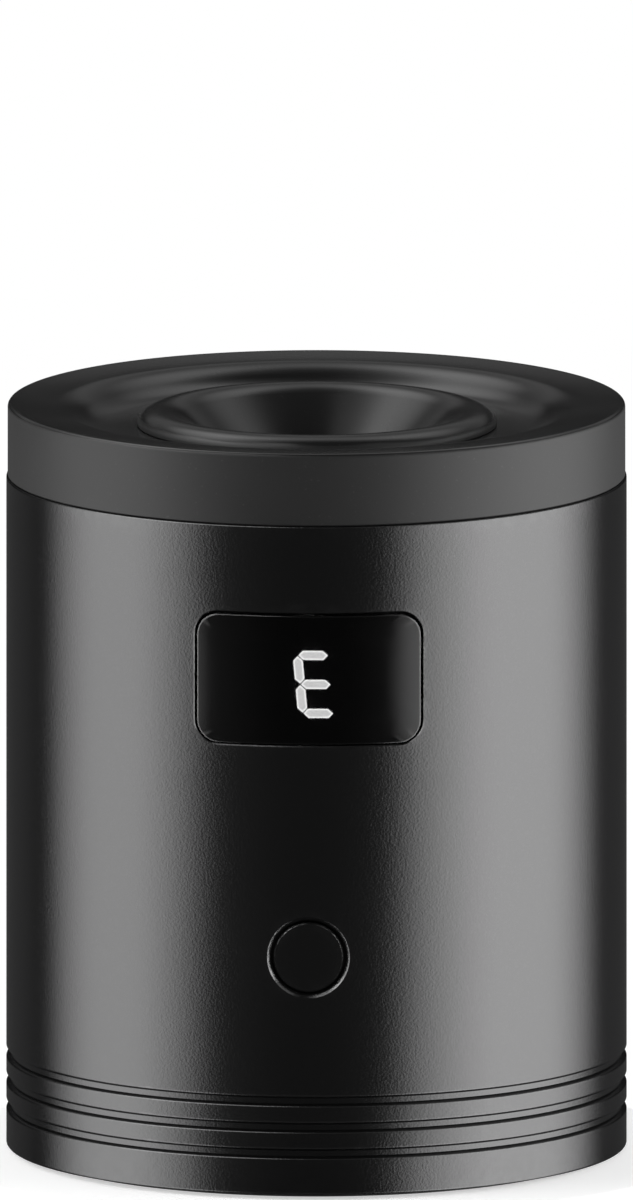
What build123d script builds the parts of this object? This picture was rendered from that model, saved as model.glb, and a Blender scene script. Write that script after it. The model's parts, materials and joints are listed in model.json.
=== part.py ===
"""Bottle shaker for nail polish and small glue or ink bottles: a turned metal can with an orbiting cup on top.

The bottle is pressed into the conical cup. Below it a small motor turns a crank pin that carries the cup on a
ball bearing, so the cup circles by the crank throw without turning. A single-digit display and a push button
are in the front of the can, the charging socket is in the back, and everything hangs on a moulded chassis.

Millimetres, +Z up, front at -Y. The origin is the middle of the foot ring, on the table.
"""

from math import atan, cos, radians, sin, sqrt, tan
import os

from build123d import *

# ---- driving dimensions -------------------------------------------------------------------------------------
BODY_R = 35.0  # outer radius of the can
TOTAL_H = 85.4  # table to the top rim
WALL = 1.8  # can wall
FOOT_STAND = 0.6  # how far the foot ring lifts the can off the table
BAND_H = 8.3  # visible height of the top cover's band
CRANK = 1.5  # throw of the crank pin, half the cup's stroke
SLIDE_GAP = 0.15  # gap round pieces that sit in openings of the can
MOULD_GAP = 0.1  # gap round pieces that are pushed into moulded seats
PAST = 1.0  # how far a cutter runs past a face

BORE_R = BODY_R - WALL
CAN_TOP = TOTAL_H - BAND_H
CAN_EDGE = 0.3  # broken edge at the foot of the can
CAN_CROWN = 0.2  # broken edge under the band

# decorative grooves near the foot of the can
GROOVES = 3
GROOVE_Z = 5.3
GROOVE_PITCH = 3.0
GROOVE_W = 1.2
GROOVE_FLOOR = 0.6
GROOVE_DEPTH = 0.5

# display window, as chord width and height on the front of the can
FRONT_CUT = (-40.0, -22.0)  # a cutter through the front wall runs between these
WINDOW_W = 25.8
WINDOW_H = 15.2
WINDOW_Z = 59.6
WINDOW_CORNER = 2.7
LENS_R = BODY_R - 0.08
LENS_STEP_R = BORE_R - 0.1  # the lens flange bears on the bore here
LENS_BACK_R = 31.9
LENS_FLANGE = 1.2
LENS_EDGE = 0.25
LENS_Z = WINDOW_Z - 0.1  # the lens rests on the lower edge of the window

# seven-segment digit
DIGIT_X = 0.73
DIGIT_Z = 58.6
DIGIT_HALF_W = 1.71
DIGIT_HALF_H = 3.32
SEGMENT_T = 1.06
SEGMENT_GAP = 0.08
SEGMENT_DEPTH = 1.2
DIGIT_LEAN = -4.9  # degrees, the top leans to -X
LIT = "adefg"
UNLIT = "bc"
MODULE_HALF_W = 4.95
MODULE_HALF_H = 6.3
MODULE_FACE = -31.1

# push button
BUTTON_Z = 27.8
BUTTON_R = 4.0
BUTTON_FACE_R = BODY_R - 0.12
BUTTON_EDGE = 0.12
BUTTON_HOLE_R = 4.2
BUTTON_CHAMFER = 0.47
FLANGE_R = 4.9
FLANGE_Y = (-32.7, -31.9)
STEM_R = 1.2
SWITCH_FACE = -28.1
PLUNGER_FACE = SWITCH_FACE - 0.7

# charging socket in the back
SOCKET_Z = 17.8
SOCKET_W = 8.94
SOCKET_H = 3.16
SOCKET_Y = (26.6, 34.0)
SOCKET_GAP = 0.35  # between the shell and the slot in the can
SHELL_T = 0.3
CHARGE_BOARD_T = 1.2
CHARGE_BOARD_Z = SOCKET_Z - SOCKET_H / 2 - CHARGE_BOARD_T
CHARGE_SCREW_AT = (5.8, 20.2)

# top cover
BAND_R = 34.85  # the band is a hair slimmer than the can
VALLEY_R = 23.6
VALLEY_Z = TOTAL_H - 2.8
RIM_R = 29.8
RIM_DISH = 0.35  # the rim falls this much towards the valley
RIM_ROUND = 0.5
COVER_HOLE_R = 18.6
COVER_T = 1.6
COVER_SEAT_Z = CAN_TOP + 0.9  # the cover rests on the deck's ring here
COVER_SCREW_AT = 29.5
COVER_SCREW_ANGLES = (90, 210, 330)
COVER_SINK = 4.2  # depth of the screw holes in the cover

# bottle cup, radii measured from the crank pin's axis
CUP_LIP_R = 17.2
CUP_LIP_Z = TOTAL_H - 1.0
CUP_LIP_ROUND = 0.8
CUP_FLOOR_R = 5.6
CUP_FLOOR_Z = 74.6
CUP_FLANGE_R = 20.3
CUP_GAP = 0.35  # cup flange over the valley floor
CUP_STEP_R = 16.6
CUP_NECK_R = 12.8
CUP_NECK_Z = (66.2, 76.2)
CARRIER_R = 10.4
CARRIER_TOP = 72.2

# splash seal
SEAL_LOW_Z = 75.2
SEAL_TOP_Z = VALLEY_Z - COVER_T - 0.4
SEAL_TOP_R = 21.6
SEAL_BEAD = 1.4
SEAL_SKIN = 0.8

# bearing 625: bore 5, outside 16, width 5
BEARING_Z = 64.4
BEARING_W = 5.0
BEARING_TOP = BEARING_Z + BEARING_W
BEARING_MID = BEARING_Z + BEARING_W / 2
BEARING_BORE_R = 2.5
BEARING_OUT_R = 8.0
INNER_LAND_R = 4.2
OUTER_LAND_R = 6.3
BALLS = 7
BALL_R = 1.4
BALL_PITCH_R = 5.25
RACE_PLAY = 0.05

# crank
HUB_R = 5.0
HUB_Z = (58.2, 63.4)
SHAFT_TOP = 62.2
SET_SCREW_R = 1.0
SET_SCREW_Z = 60.8
PIN_SCREW_R = 0.8
PIN_SCREW_L = 4.4
WASHER_T = 0.4
WEIGHT_R = 13.0
WEIGHT_H = 4.2

# motor
MOTOR_R = 12.2
MOTOR_SKIN = 0.9
MOTOR_BASE = 24.2
MOTOR_TOP = 55.0
MOTOR_BOSS = 1.5
SHAFT_R = 1.0
SHAFT_PLAY = 0.03
BUSH_R = 2.2
MOTOR_HOLE_X = 8.5
MOTOR_SCREW_R = 1.0
TERMINAL_X = 7.5
TERMINAL_DROP = 3.4
CORE_Z = (35.0, 49.0)
SHOE_R = (7.3, 8.9)
NECK_HALF = 1.6
COMMUTATOR_R = 2.6
COMMUTATOR_TUBE_R = 1.6
DAMPER_R = 13.6
DAMPER_Z = (25.0, 31.0)

# deck, chassis and their posts
DECK_Z = MOTOR_TOP
DECK_T = 2.5
FRAME_R = BORE_R - 0.3
POST_AT = 25.5
POST_ANGLES = (45, 135, 225, 315)
POST_R = 3.2
PILOT_R = 1.05
CLEAR_R = PILOT_R + 0.3
CHASSIS_Z = 6.0
CHASSIS_T = 2.0
CHASSIS_FLOOR = CHASSIS_Z + CHASSIS_T
CUP_WALL = 1.6

# base plate and foot
BASE_R = 33.8
BASE_STEP_R = 33.9
BASE_STEP_H = 2.0
BASE_Z = FOOT_STAND
BASE_T = 1.9
BASE_TOP = BASE_Z + BASE_T
BASE_SINK = 1.0  # depth of the screw seats and of the foot ring's groove
FOOT_IN_R = 28.8
FOOT_OUT_R = 32.4
GRIP_RADII = (29.9, 31.1)
RIB_H = 1.0
RIB_HALF_T = 0.6

# main board, upright behind the display, and the frame on it
BOARD_FRONT = -24.6
BOARD_T = 1.6
BOARD_BACK = BOARD_FRONT + BOARD_T
BOARD_HALF_W = 13.0
BOARD_Z = (19.5, 70.0)
FRAME_Y = (-30.2, -28.9)
FRAME_SCREW_Z = (38.5, 47.5)
FRAME_SCREW_R = 0.8
CHIPS = (  # across, height off the board, up
    ((-2.6, 2.6), 1.5, (61.0, 66.0)),  # controller
    ((-10.0, -6.0), 1.4, (28.0, 33.0)),  # motor driver
    ((5.5, 10.5), 2.6, (27.5, 32.5)),  # coil
    ((6.5, 8.5), 0.9, (57.5, 58.75)),  # capacitors
    ((6.5, 8.5), 0.9, (60.0, 61.25)),
    ((6.5, 8.5), 0.9, (62.5, 63.75)),
)

# battery cell
CELL_R = 8.3
CELL_X = 24.0
CELL_Z = (8.4, 42.9)
CELL_CAP = (3.0, 0.6)  # radius and height of the raised end
CELL_EDGE = 0.5
TAB_T = 0.2
TAB_HALF = 2.0

# leads
LEAD_R = 0.5
LEAD_BEND = 2.4
LEAD_SPACING = 1.8

CRANK_Y = CRANK  # at rest the pin stands towards the back
DOWN = (Align.CENTER, Align.CENTER, Align.MIN)


# ---- shape helpers ------------------------------------------------------------------------------------------
def rod(radius, z0, z1, x=0.0, y=0.0):
    """Upright cylinder."""
    return Pos(x, y, z0) * Cylinder(radius, z1 - z0, align=DOWN)


def rod_y(radius, y0, y1, x=0.0, z=0.0):
    """Cylinder along Y."""
    return Pos(x, y0, z) * Rot(-90, 0, 0) * Cylinder(radius, y1 - y0, align=DOWN)


def tube(outer, inner, z0, z1, x=0.0, y=0.0):
    """Upright ring."""
    return rod(outer, z0, z1, x, y) - rod(inner, z0 - PAST, z1 + PAST, x, y)


def block(x, y, z):
    """Box between pairs of limits."""
    size = (x[1] - x[0], y[1] - y[0], z[1] - z[0])
    middle = ((x[0] + x[1]) / 2, (y[0] + y[1]) / 2, (z[0] + z[1]) / 2)
    return Pos(*middle) * Box(*size)


def turned(*edges, x=0.0, y=0.0):
    """Solid turned about an upright axis from a closed outline in the XZ plane."""
    return Pos(x, y, 0) * revolve(make_face(list(edges)), Axis.Z)


def outline(*points):
    """Closed run of straight edges through (radius, height) points."""
    corners = [(r, 0, z) for r, z in points]
    return Polyline(*corners, close=True).edges()


def run(*points):
    """Open run of straight edges through (radius, height) points."""
    return Polyline(*[(r, 0, z) for r, z in points]).edges()


def bend(start, middle, end):
    """Arc through three (radius, height) points."""
    return ThreePointArc(*[(r, 0, z) for r, z in (start, middle, end)])


def around(angles, radius):
    """Places on a circle."""
    return [(radius * cos(radians(a)), radius * sin(radians(a))) for a in angles]


def evenly(count, start=0.0):
    """Rotations about Z that share a full turn."""
    return [Rot(0, 0, start + 360 / count * n) for n in range(count)]


def front_slab(width, height, corner, z):
    """Rounded rectangle, seen from the front, pushed through the front of the can."""
    front, back = FRONT_CUT
    face = Plane.XZ.offset(-front) * Pos(0, z) * RectangleRounded(width, height, corner)
    return extrude(face, front - back)


def socket_bar(inset, y0, y1):
    """Bar with the charging socket's outline, made smaller all round by the inset."""
    face = SlotOverall(SOCKET_W - 2 * inset, SOCKET_H - 2 * inset)
    return Pos(0, y1, 0) * extrude(Plane.XZ * Pos(0, SOCKET_Z) * face, y1 - y0)


def screw(shank_r, length, head_r, head_h):
    """Pan-head screw with a cross recess, head up, its seat at Z = 0."""
    body = rod(shank_r, -length, 0) + rod(head_r, 0, head_h)
    slot = block((-head_r * 0.6, head_r * 0.6), (-0.3, 0.3), (head_h * 0.45, head_h + PAST))
    return body - slot - Rot(0, 0, 90) * slot


def group(pieces):
    """Several separate solids as one part."""
    solids = [s for piece in pieces for s in piece.solids()]
    return Compound(children=solids)


# ---- casing -------------------------------------------------------------------------------------------------
def groove_cutter(z):
    """Ring with sloping sides, wider towards the outside."""
    slope = (GROOVE_W - GROOVE_FLOOR) / 2 / GROOVE_DEPTH
    mouth = GROOVE_W / 2 + slope * PAST
    return turned(
        *outline(
            (BODY_R + PAST, z - mouth),
            (BODY_R - GROOVE_DEPTH, z - GROOVE_FLOOR / 2),
            (BODY_R - GROOVE_DEPTH, z + GROOVE_FLOOR / 2),
            (BODY_R + PAST, z + mouth),
        )
    )


def outer_sleeve():
    """Turned and anodised can: open tube with the window, button hole, socket slot and three grooves."""
    can = turned(
        *outline(
            (BASE_STEP_R, FOOT_STAND),
            (BODY_R - CAN_EDGE, FOOT_STAND),
            (BODY_R, FOOT_STAND + CAN_EDGE),
            (BODY_R, CAN_TOP - CAN_CROWN),
            (BODY_R - CAN_CROWN, CAN_TOP),
            (BORE_R, CAN_TOP),
            (BORE_R, FOOT_STAND + BASE_STEP_H),
            (BASE_STEP_R, FOOT_STAND + BASE_STEP_H),
        )
    )
    for n in range(GROOVES):
        can -= groove_cutter(GROOVE_Z + n * GROOVE_PITCH)
    can -= front_slab(WINDOW_W, WINDOW_H, WINDOW_CORNER, WINDOW_Z)
    can -= rod_y(BUTTON_HOLE_R, *FRONT_CUT, z=BUTTON_Z)
    mouth = can.edges().filter_by_position(Axis.Y, -BODY_R - PAST, -BODY_R + PAST)
    mouth = mouth.filter_by_position(Axis.Z, BUTTON_Z - BUTTON_HOLE_R - PAST, BUTTON_Z + BUTTON_HOLE_R + PAST)
    can = chamfer(mouth, BUTTON_CHAMFER)
    return can - socket_bar(-SOCKET_GAP, BORE_R - 5, BODY_R + 5)


def display_lens():
    """Smoked lens, curved with the can, held by a flange behind the wall."""
    reach = (LENS_Z - WINDOW_H, LENS_Z + WINDOW_H)
    pane = front_slab(WINDOW_W - 2 * SLIDE_GAP, WINDOW_H - 2 * SLIDE_GAP, WINDOW_CORNER - SLIDE_GAP, LENS_Z)
    pane &= tube(LENS_R, LENS_BACK_R, *reach)
    pane = chamfer(pane.faces().sort_by(Axis.Y)[0].edges(), LENS_EDGE)
    flange = front_slab(WINDOW_W + 2 * LENS_FLANGE, WINDOW_H + 2 * LENS_FLANGE, WINDOW_CORNER, LENS_Z)
    return pane + (flange & tube(LENS_STEP_R, LENS_BACK_R, *reach))


def top_cover():
    """Soft-touch dish: outer band, shallow rim and a round valley about the cup, cored from below."""
    rim_z = TOTAL_H - RIM_DISH
    half_dr, half_dz = (RIM_R - VALLEY_R) / 2, (rim_z - VALLEY_Z) / 2
    mid = (VALLEY_R + half_dr, VALLEY_Z + half_dz)
    turn = 2 * atan(half_dz / half_dr)
    arc_r = half_dr / sin(turn)
    rise, reach = arc_r * (1 - cos(turn / 2)), arc_r * sin(turn / 2)
    corner = RIM_ROUND * (1 - sqrt(0.5))
    inner_r = BORE_R - 0.2
    wall_r = COVER_SCREW_AT - 2.3
    rim_edge, band_edge = (BAND_R - RIM_ROUND, TOTAL_H), (BAND_R, TOTAL_H - RIM_ROUND)
    cover = turned(
        *run((RIM_R, rim_z), rim_edge),
        bend(rim_edge, (BAND_R - corner, TOTAL_H - corner), band_edge),
        *run(
            band_edge,
            (BAND_R, CAN_TOP + CAN_CROWN),
            (BAND_R - CAN_CROWN, CAN_TOP),
            (inner_r, CAN_TOP),
            (inner_r, COVER_SEAT_Z),
            (wall_r, COVER_SEAT_Z),
            (wall_r, VALLEY_Z - COVER_T),
            (COVER_HOLE_R, VALLEY_Z - COVER_T),
            (COVER_HOLE_R, VALLEY_Z),
            (VALLEY_R, VALLEY_Z),
        ),
        bend((VALLEY_R, VALLEY_Z), (VALLEY_R + reach, VALLEY_Z + rise), mid),
        bend(mid, (RIM_R - reach, rim_z - rise), (RIM_R, rim_z)),
    )
    screws = around(COVER_SCREW_ANGLES, COVER_SCREW_AT)
    core = tube(31.4, COVER_SCREW_AT - 1.6, COVER_SEAT_Z - PAST, VALLEY_Z)
    for x, y in screws:
        core -= rod(2.4, COVER_SEAT_Z - 2 * PAST, VALLEY_Z + PAST, x, y)
    cover -= core
    for x, y in screws:
        cover -= rod(PILOT_R, COVER_SEAT_Z - PAST, COVER_SEAT_Z + COVER_SINK, x, y)
    return cover


def base_plate():
    """Bottom plate: seat for the foot ring, countersunk screw seats and stiffening ribs inside."""
    rim_r = BORE_R - 0.2
    ring_r = 7.2
    plate = rod(BASE_R, BASE_Z, BASE_TOP)
    plate += tube(rim_r, rim_r - CUP_WALL, BASE_TOP, BASE_TOP + 1.6)
    rib_z = (BASE_TOP, BASE_TOP + RIB_H)
    rib = block((ring_r - RIB_HALF_T, rim_r - RIB_HALF_T), (-RIB_HALF_T, RIB_HALF_T), rib_z)
    for place in evenly(8, 22.5):
        plate += place * rib
    plate += tube(ring_r, ring_r - 2 * RIB_HALF_T, *rib_z)
    plate -= tube(FOOT_OUT_R, FOOT_IN_R, BASE_Z - PAST, BASE_Z + BASE_SINK)
    for x, y in around(POST_ANGLES, POST_AT):
        plate -= rod(CLEAR_R, BASE_Z - PAST, BASE_TOP + PAST, x, y)
        plate -= rod(2.7, BASE_Z - PAST, BASE_Z + BASE_SINK, x, y)
    return plate


def foot_ring():
    """Rubber ring that the can stands on, with two turned grip grooves."""
    play, half_groove, groove_h = 0.05, 0.25, 0.3
    ring = tube(FOOT_OUT_R - play, FOOT_IN_R + play, 0, FOOT_STAND + BASE_SINK)
    for r in GRIP_RADII:
        ring -= tube(r + half_groove, r - half_groove, -PAST, groove_h)
    return ring


# ---- orbiting head ------------------------------------------------------------------------------------------
def bottle_cup():
    """Silicone cup: funnel for the bottle, rounded lip, flange over the valley and a neck on the carrier."""
    under = VALLEY_Z + CUP_GAP
    slope = atan((CUP_LIP_Z - CUP_FLOOR_Z) / (CUP_LIP_R - CUP_LIP_ROUND - CUP_FLOOR_R))
    funnel_low = (CUP_FLOOR_R + 0.6, CUP_FLOOR_Z + 0.55)
    funnel_top = (
        CUP_LIP_R - CUP_LIP_ROUND * (1 + sin(slope)) + 0.35,
        CUP_LIP_Z - CUP_LIP_ROUND * (1 - cos(slope)),
    )
    floor_edge = (CUP_FLOOR_R - 0.6, CUP_FLOOR_Z)
    crest = (CUP_LIP_R + 0.6, CUP_LIP_Z - 0.02)
    brim = (CUP_FLANGE_R, under + 0.3)
    return turned(
        *run((0, CUP_FLOOR_Z), floor_edge),
        bend(floor_edge, (CUP_FLOOR_R + 0.05, CUP_FLOOR_Z + 0.12), funnel_low),
        *run(funnel_low, funnel_top),
        bend(funnel_top, (CUP_LIP_R - 0.35, CUP_LIP_Z - 0.02), crest),
        bend(crest, (CUP_FLANGE_R - 1.3, CUP_LIP_Z - 0.45), brim),
        *run(
            brim,
            (CUP_FLANGE_R, under),
            (CUP_STEP_R, under),
            (CUP_STEP_R, under - 1.0),
            (CUP_NECK_R, CUP_NECK_Z[1]),
            (CUP_NECK_R, CUP_NECK_Z[0]),
            (CARRIER_R, CUP_NECK_Z[0]),
            (CARRIER_R, CARRIER_TOP),
            (0, CARRIER_TOP),
            (0, CUP_FLOOR_Z),
        ),
        y=CRANK_Y,
    )


def cup_carrier():
    """Nylon hub moulded into the cup, with the seat for the bearing and clearance for the pin's screw."""
    skirt, roof, clear_r = 0.4, 0.8, 6.2
    hub = rod(CARRIER_R, BEARING_Z - skirt, CARRIER_TOP, 0, CRANK_Y)
    hub -= rod(BEARING_OUT_R, BEARING_Z - skirt - PAST, BEARING_TOP, 0, CRANK_Y)
    return hub - rod(clear_r, BEARING_Z, CARRIER_TOP - roof, 0, CRANK_Y)


def splash_seal():
    """Thin rubber skirt from the cup's neck to the cover: keeps polish out and stops the cup from turning."""
    neck_r = CUP_NECK_R + MOULD_GAP
    low_r = neck_r + SEAL_BEAD

    def cone(inset, extra):
        low = Pos(0, CRANK_Y, SEAL_LOW_Z - extra) * Circle(low_r - inset)
        high = Pos(0, 0, SEAL_TOP_Z + extra) * Circle(SEAL_TOP_R - inset)
        return loft([low, high])

    seal = cone(0, 0) - cone(SEAL_SKIN, 0.01)
    seal += tube(low_r, neck_r, SEAL_LOW_Z - SEAL_SKIN, SEAL_LOW_Z, 0, CRANK_Y)
    seal += tube(low_r, low_r - SEAL_SKIN - 0.05, SEAL_LOW_Z, SEAL_LOW_Z + 0.2, 0, CRANK_Y)
    return seal + tube(SEAL_TOP_R + 1.0, SEAL_TOP_R - SEAL_SKIN, SEAL_TOP_Z - 0.3, SEAL_TOP_Z + 0.4)


# ---- ball bearing -------------------------------------------------------------------------------------------
def race_groove():
    """Round track that both races are ground to."""
    face = Plane.XZ * Pos(BALL_PITCH_R, BEARING_MID) * Circle(BALL_R + RACE_PLAY)
    return Pos(0, CRANK_Y, 0) * revolve(face, Axis.Z)


def bearing_inner_race():
    return tube(INNER_LAND_R, BEARING_BORE_R, BEARING_Z, BEARING_TOP, 0, CRANK_Y) - race_groove()


def bearing_outer_race():
    return tube(BEARING_OUT_R, OUTER_LAND_R, BEARING_Z, BEARING_TOP, 0, CRANK_Y) - race_groove()


def bearing_shields():
    """Pressed discs that close the bearing, one at each face."""
    inset, thick, inner = 0.15, 0.25, INNER_LAND_R + 0.2
    low = tube(OUTER_LAND_R, inner, BEARING_Z + inset, BEARING_Z + inset + thick, 0, CRANK_Y)
    high = tube(OUTER_LAND_R, inner, BEARING_TOP - inset - thick, BEARING_TOP - inset, 0, CRANK_Y)
    return group([low, high])


def bearing_balls():
    ball = Pos(BALL_PITCH_R, 0, BEARING_MID) * Sphere(BALL_R)
    return group([Pos(0, CRANK_Y, 0) * place * ball for place in evenly(BALLS)])


def ball_cage():
    """Ring that keeps the balls apart."""
    inset = 0.5
    cage = tube(BALL_PITCH_R + 0.55, BALL_PITCH_R - 0.55, BEARING_Z + inset, BEARING_TOP - inset, 0, CRANK_Y)
    pocket = Rot(0, 90, 0) * Cylinder(BALL_R + RACE_PLAY, BALL_PITCH_R * 1.5, align=DOWN)
    for place in evenly(BALLS):
        cage -= Pos(0, CRANK_Y, BEARING_MID) * place * pocket
    return cage


# ---- crank --------------------------------------------------------------------------------------------------
def crank_hub():
    """Steel hub on the motor shaft, with the offset pin for the bearing."""
    low, high = HUB_Z
    hub = rod(HUB_R, low, high)
    hub += rod(3.4, high, BEARING_Z, 0, CRANK_Y)
    hub += rod(BEARING_BORE_R, BEARING_Z, BEARING_TOP - WASHER_T, 0, CRANK_Y)
    hub -= rod(SHAFT_R, low - PAST, SHAFT_TOP)
    hub -= rod(PIN_SCREW_R, BEARING_TOP - PIN_SCREW_L, BEARING_TOP, 0, CRANK_Y)
    return hub - rod_y(SET_SCREW_R, 0, HUB_R + PAST, z=SET_SCREW_Z)


def counterweight():
    """Half-ring of brass opposite the crank pin, so that the head runs quietly."""
    low = HUB_Z[0]
    weight = tube(WEIGHT_R, HUB_R, low, low + WEIGHT_H)
    return weight - block((-20, 20), (-0.8, 20), (low - PAST, low + WEIGHT_H + PAST))


def hub_set_screw():
    """Grub screw with a hexagon-size bore that clamps the hub on the shaft."""
    end = HUB_R - 0.1
    grub = rod_y(SET_SCREW_R, SHAFT_R, end, z=SET_SCREW_Z)
    return grub - rod_y(0.45, end - 1.3, end + PAST, z=SET_SCREW_Z)


def bearing_washer():
    return tube(3.6, PIN_SCREW_R + 0.05, BEARING_TOP, BEARING_TOP + WASHER_T, 0, CRANK_Y)


def bearing_screw():
    return Pos(0, CRANK_Y, BEARING_TOP + WASHER_T) * screw(PIN_SCREW_R, PIN_SCREW_L, 1.7, 1.0)


# ---- motor --------------------------------------------------------------------------------------------------
def motor_can():
    """Drawn steel can: closed front with a boss and two tapped holes, open back."""
    end_t = 1.0
    can = rod(MOTOR_R, MOTOR_BASE, MOTOR_TOP) + rod(3.0, MOTOR_TOP, MOTOR_TOP + MOTOR_BOSS)
    shoulder = can.edges().filter_by_position(Axis.Z, MOTOR_TOP, MOTOR_TOP).sort_by(SortBy.RADIUS)[-1]
    can = fillet(shoulder, 0.9)
    can -= rod(MOTOR_R - MOTOR_SKIN, MOTOR_BASE - PAST, MOTOR_TOP - end_t)
    can -= rod(BUSH_R, MOTOR_TOP - 2, MOTOR_TOP + 2 * MOTOR_BOSS)
    for x in (-MOTOR_HOLE_X, MOTOR_HOLE_X):
        can -= rod(MOTOR_SCREW_R, MOTOR_TOP - 2, MOTOR_TOP + PAST, x)
    return can


def motor_end_bell():
    """Plastic back cover of the motor, with the rear bearing boss and slots for the terminals."""
    disc_t, boss_h = 2.6, 1.6
    bell = rod(MOTOR_R - MOTOR_SKIN, MOTOR_BASE, MOTOR_BASE + disc_t)
    bell += rod(3.6, MOTOR_BASE - boss_h, MOTOR_BASE)
    bell -= rod(BUSH_R, MOTOR_BASE - boss_h - PAST, MOTOR_BASE + disc_t + PAST)
    for x in (-TERMINAL_X, TERMINAL_X):
        bell -= terminal_bar(x, -PAST, disc_t + PAST)
    return bell


def motor_bushings():
    """Sintered bronze plain bearings, front and rear."""
    front = tube(BUSH_R, SHAFT_R + SHAFT_PLAY, MOTOR_TOP - 1.0, MOTOR_TOP + MOTOR_BOSS)
    rear = tube(BUSH_R, SHAFT_R + SHAFT_PLAY, MOTOR_BASE - 1.6, MOTOR_BASE + 1.4)
    return group([front, rear])


def terminal_bar(x, low, high):
    """Flat bar of a terminal's width between two heights over the motor's base."""
    half_t, half_w = 0.25, 1.4
    return block((x - half_t, x + half_t), (-half_w, half_w), (MOTOR_BASE + low, MOTOR_BASE + high))


def motor_terminals():
    """Two brass tabs through the end bell, with a hole for the lead."""
    tabs = []
    for x in (-TERMINAL_X, TERMINAL_X):
        hole = Pos(x - PAST, 0, MOTOR_BASE - 2.2) * Rot(0, 90, 0) * Cylinder(0.5, 2 * PAST, align=DOWN)
        tabs.append(terminal_bar(x, -TERMINAL_DROP, 4.6) - hole)
    return group(tabs)


def motor_brushes():
    """Leaf brushes on the terminals, one each side of the commutator."""
    tip, half_w, low, leaf_t = COMMUTATOR_R + 0.12, 0.9, MOTOR_BASE + 3.4, 0.4
    arm = block((-TERMINAL_X + 0.25, -tip), (-half_w, half_w), (low, low + leaf_t))
    arm += block((-3.4, -tip), (-half_w, half_w), (low + leaf_t, low + 3.2))
    return group([arm, Rot(0, 0, 180) * arm])


def motor_magnets():
    """Two arc magnets in the can."""
    half_gap = 6.6
    ring = tube(MOTOR_R - MOTOR_SKIN, SHOE_R[1] + 0.4, CORE_Z[0] - 2, CORE_Z[1] + 2)
    return group([ring & block((-MOTOR_R, MOTOR_R), (-half_gap, half_gap), (MOTOR_BASE, MOTOR_TOP))])


def motor_shaft():
    return chamfer(rod(SHAFT_R, MOTOR_BASE - 1.4, SHAFT_TOP).edges(), 0.2)


def armature_core():
    """Laminated three-pole core: a hub, three necks and three curved shoes."""
    half_slot = 1.3
    low, high = CORE_Z
    shoes = tube(SHOE_R[1], SHOE_R[0], low, high)
    core = tube(2.6, SHAFT_R, low, high)
    for place in evenly(3):
        core += place * block((2.2, 8.0), (-NECK_HALF, NECK_HALF), CORE_Z)
    for place in evenly(3, 60):
        shoes -= place * block((4, 12), (-half_slot, half_slot), (low - PAST, high + PAST))
    return core + shoes


def armature_windings():
    """Copper coils round the three necks."""
    heap = 1.6
    low, high = CORE_Z
    coil = block((3.6, 7.0), (-2 * heap, 2 * heap), (low - heap, high + heap))
    coil = fillet(coil.edges().filter_by(Axis.X), 1.5) & rod(SHOE_R[0] - 0.05, low - 5, high + 5)
    coil -= block((2, 9), (-NECK_HALF, NECK_HALF), CORE_Z)
    return group([place * coil for place in evenly(3)])


def commutator():
    """Three copper bars on an insulating tube."""
    low, high = 28.6, 32.4
    bars = tube(COMMUTATOR_R, COMMUTATOR_TUBE_R, low, high)
    for place in evenly(3, 60):
        bars -= place * block((0, 4), (-0.2, 0.2), (low - PAST, high + PAST))
    return group([bars])


def commutator_tube():
    return tube(COMMUTATOR_TUBE_R, SHAFT_R, 28.2, 33.2)


def motor_screws():
    piece = screw(MOTOR_SCREW_R, 2.6, 1.8, 1.1)
    return group([Pos(x, 0, DECK_Z + DECK_T - 1.2) * piece for x in (-MOTOR_HOLE_X, MOTOR_HOLE_X)])


def motor_damper():
    """Rubber collar between the motor and the chassis, with a groove round its middle."""
    low, high = DAMPER_Z
    collar = tube(DAMPER_R, MOTOR_R, low, high)
    return collar - tube(DAMPER_R + PAST, DAMPER_R - 0.5, low + 2.2, high - 2.2)


# ---- frame --------------------------------------------------------------------------------------------------
def upper_deck():
    """Moulded deck: motor plate, wall up to the cover and the ring that the cover is screwed to."""
    top = COVER_SEAT_Z
    deck_top = DECK_Z + DECK_T
    deck = rod(FRAME_R, DECK_Z, deck_top)
    deck += tube(FRAME_R, FRAME_R - 1.3, DECK_Z, top)
    deck += tube(FRAME_R, 26.2, top - 2.0, top)
    gusset = block((28.6, FRAME_R - 1.0), (-RIB_HALF_T, RIB_HALF_T), (top - 5.0, top - 2.0))
    for place in evenly(12, 15):
        deck += place * gusset
    deck -= block((-15.6, 15.6), (-40, -21.4), (DECK_Z - PAST, BOARD_Z[1] + PAST))
    deck -= rod(3.3, DECK_Z - PAST, deck_top + PAST)
    for x in (-MOTOR_HOLE_X, MOTOR_HOLE_X):
        deck -= rod(MOTOR_SCREW_R + 0.2, DECK_Z - PAST, deck_top + PAST, x)
        deck -= rod(2.1, deck_top - 1.2, deck_top + PAST, x)
    for x, y in around(POST_ANGLES, POST_AT):
        deck -= rod(CLEAR_R, DECK_Z - PAST, deck_top + PAST, x, y)
    for x, y in around(COVER_SCREW_ANGLES, COVER_SCREW_AT):
        deck -= rod(CLEAR_R, top - 6, top + PAST, x, y)
    return deck


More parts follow.
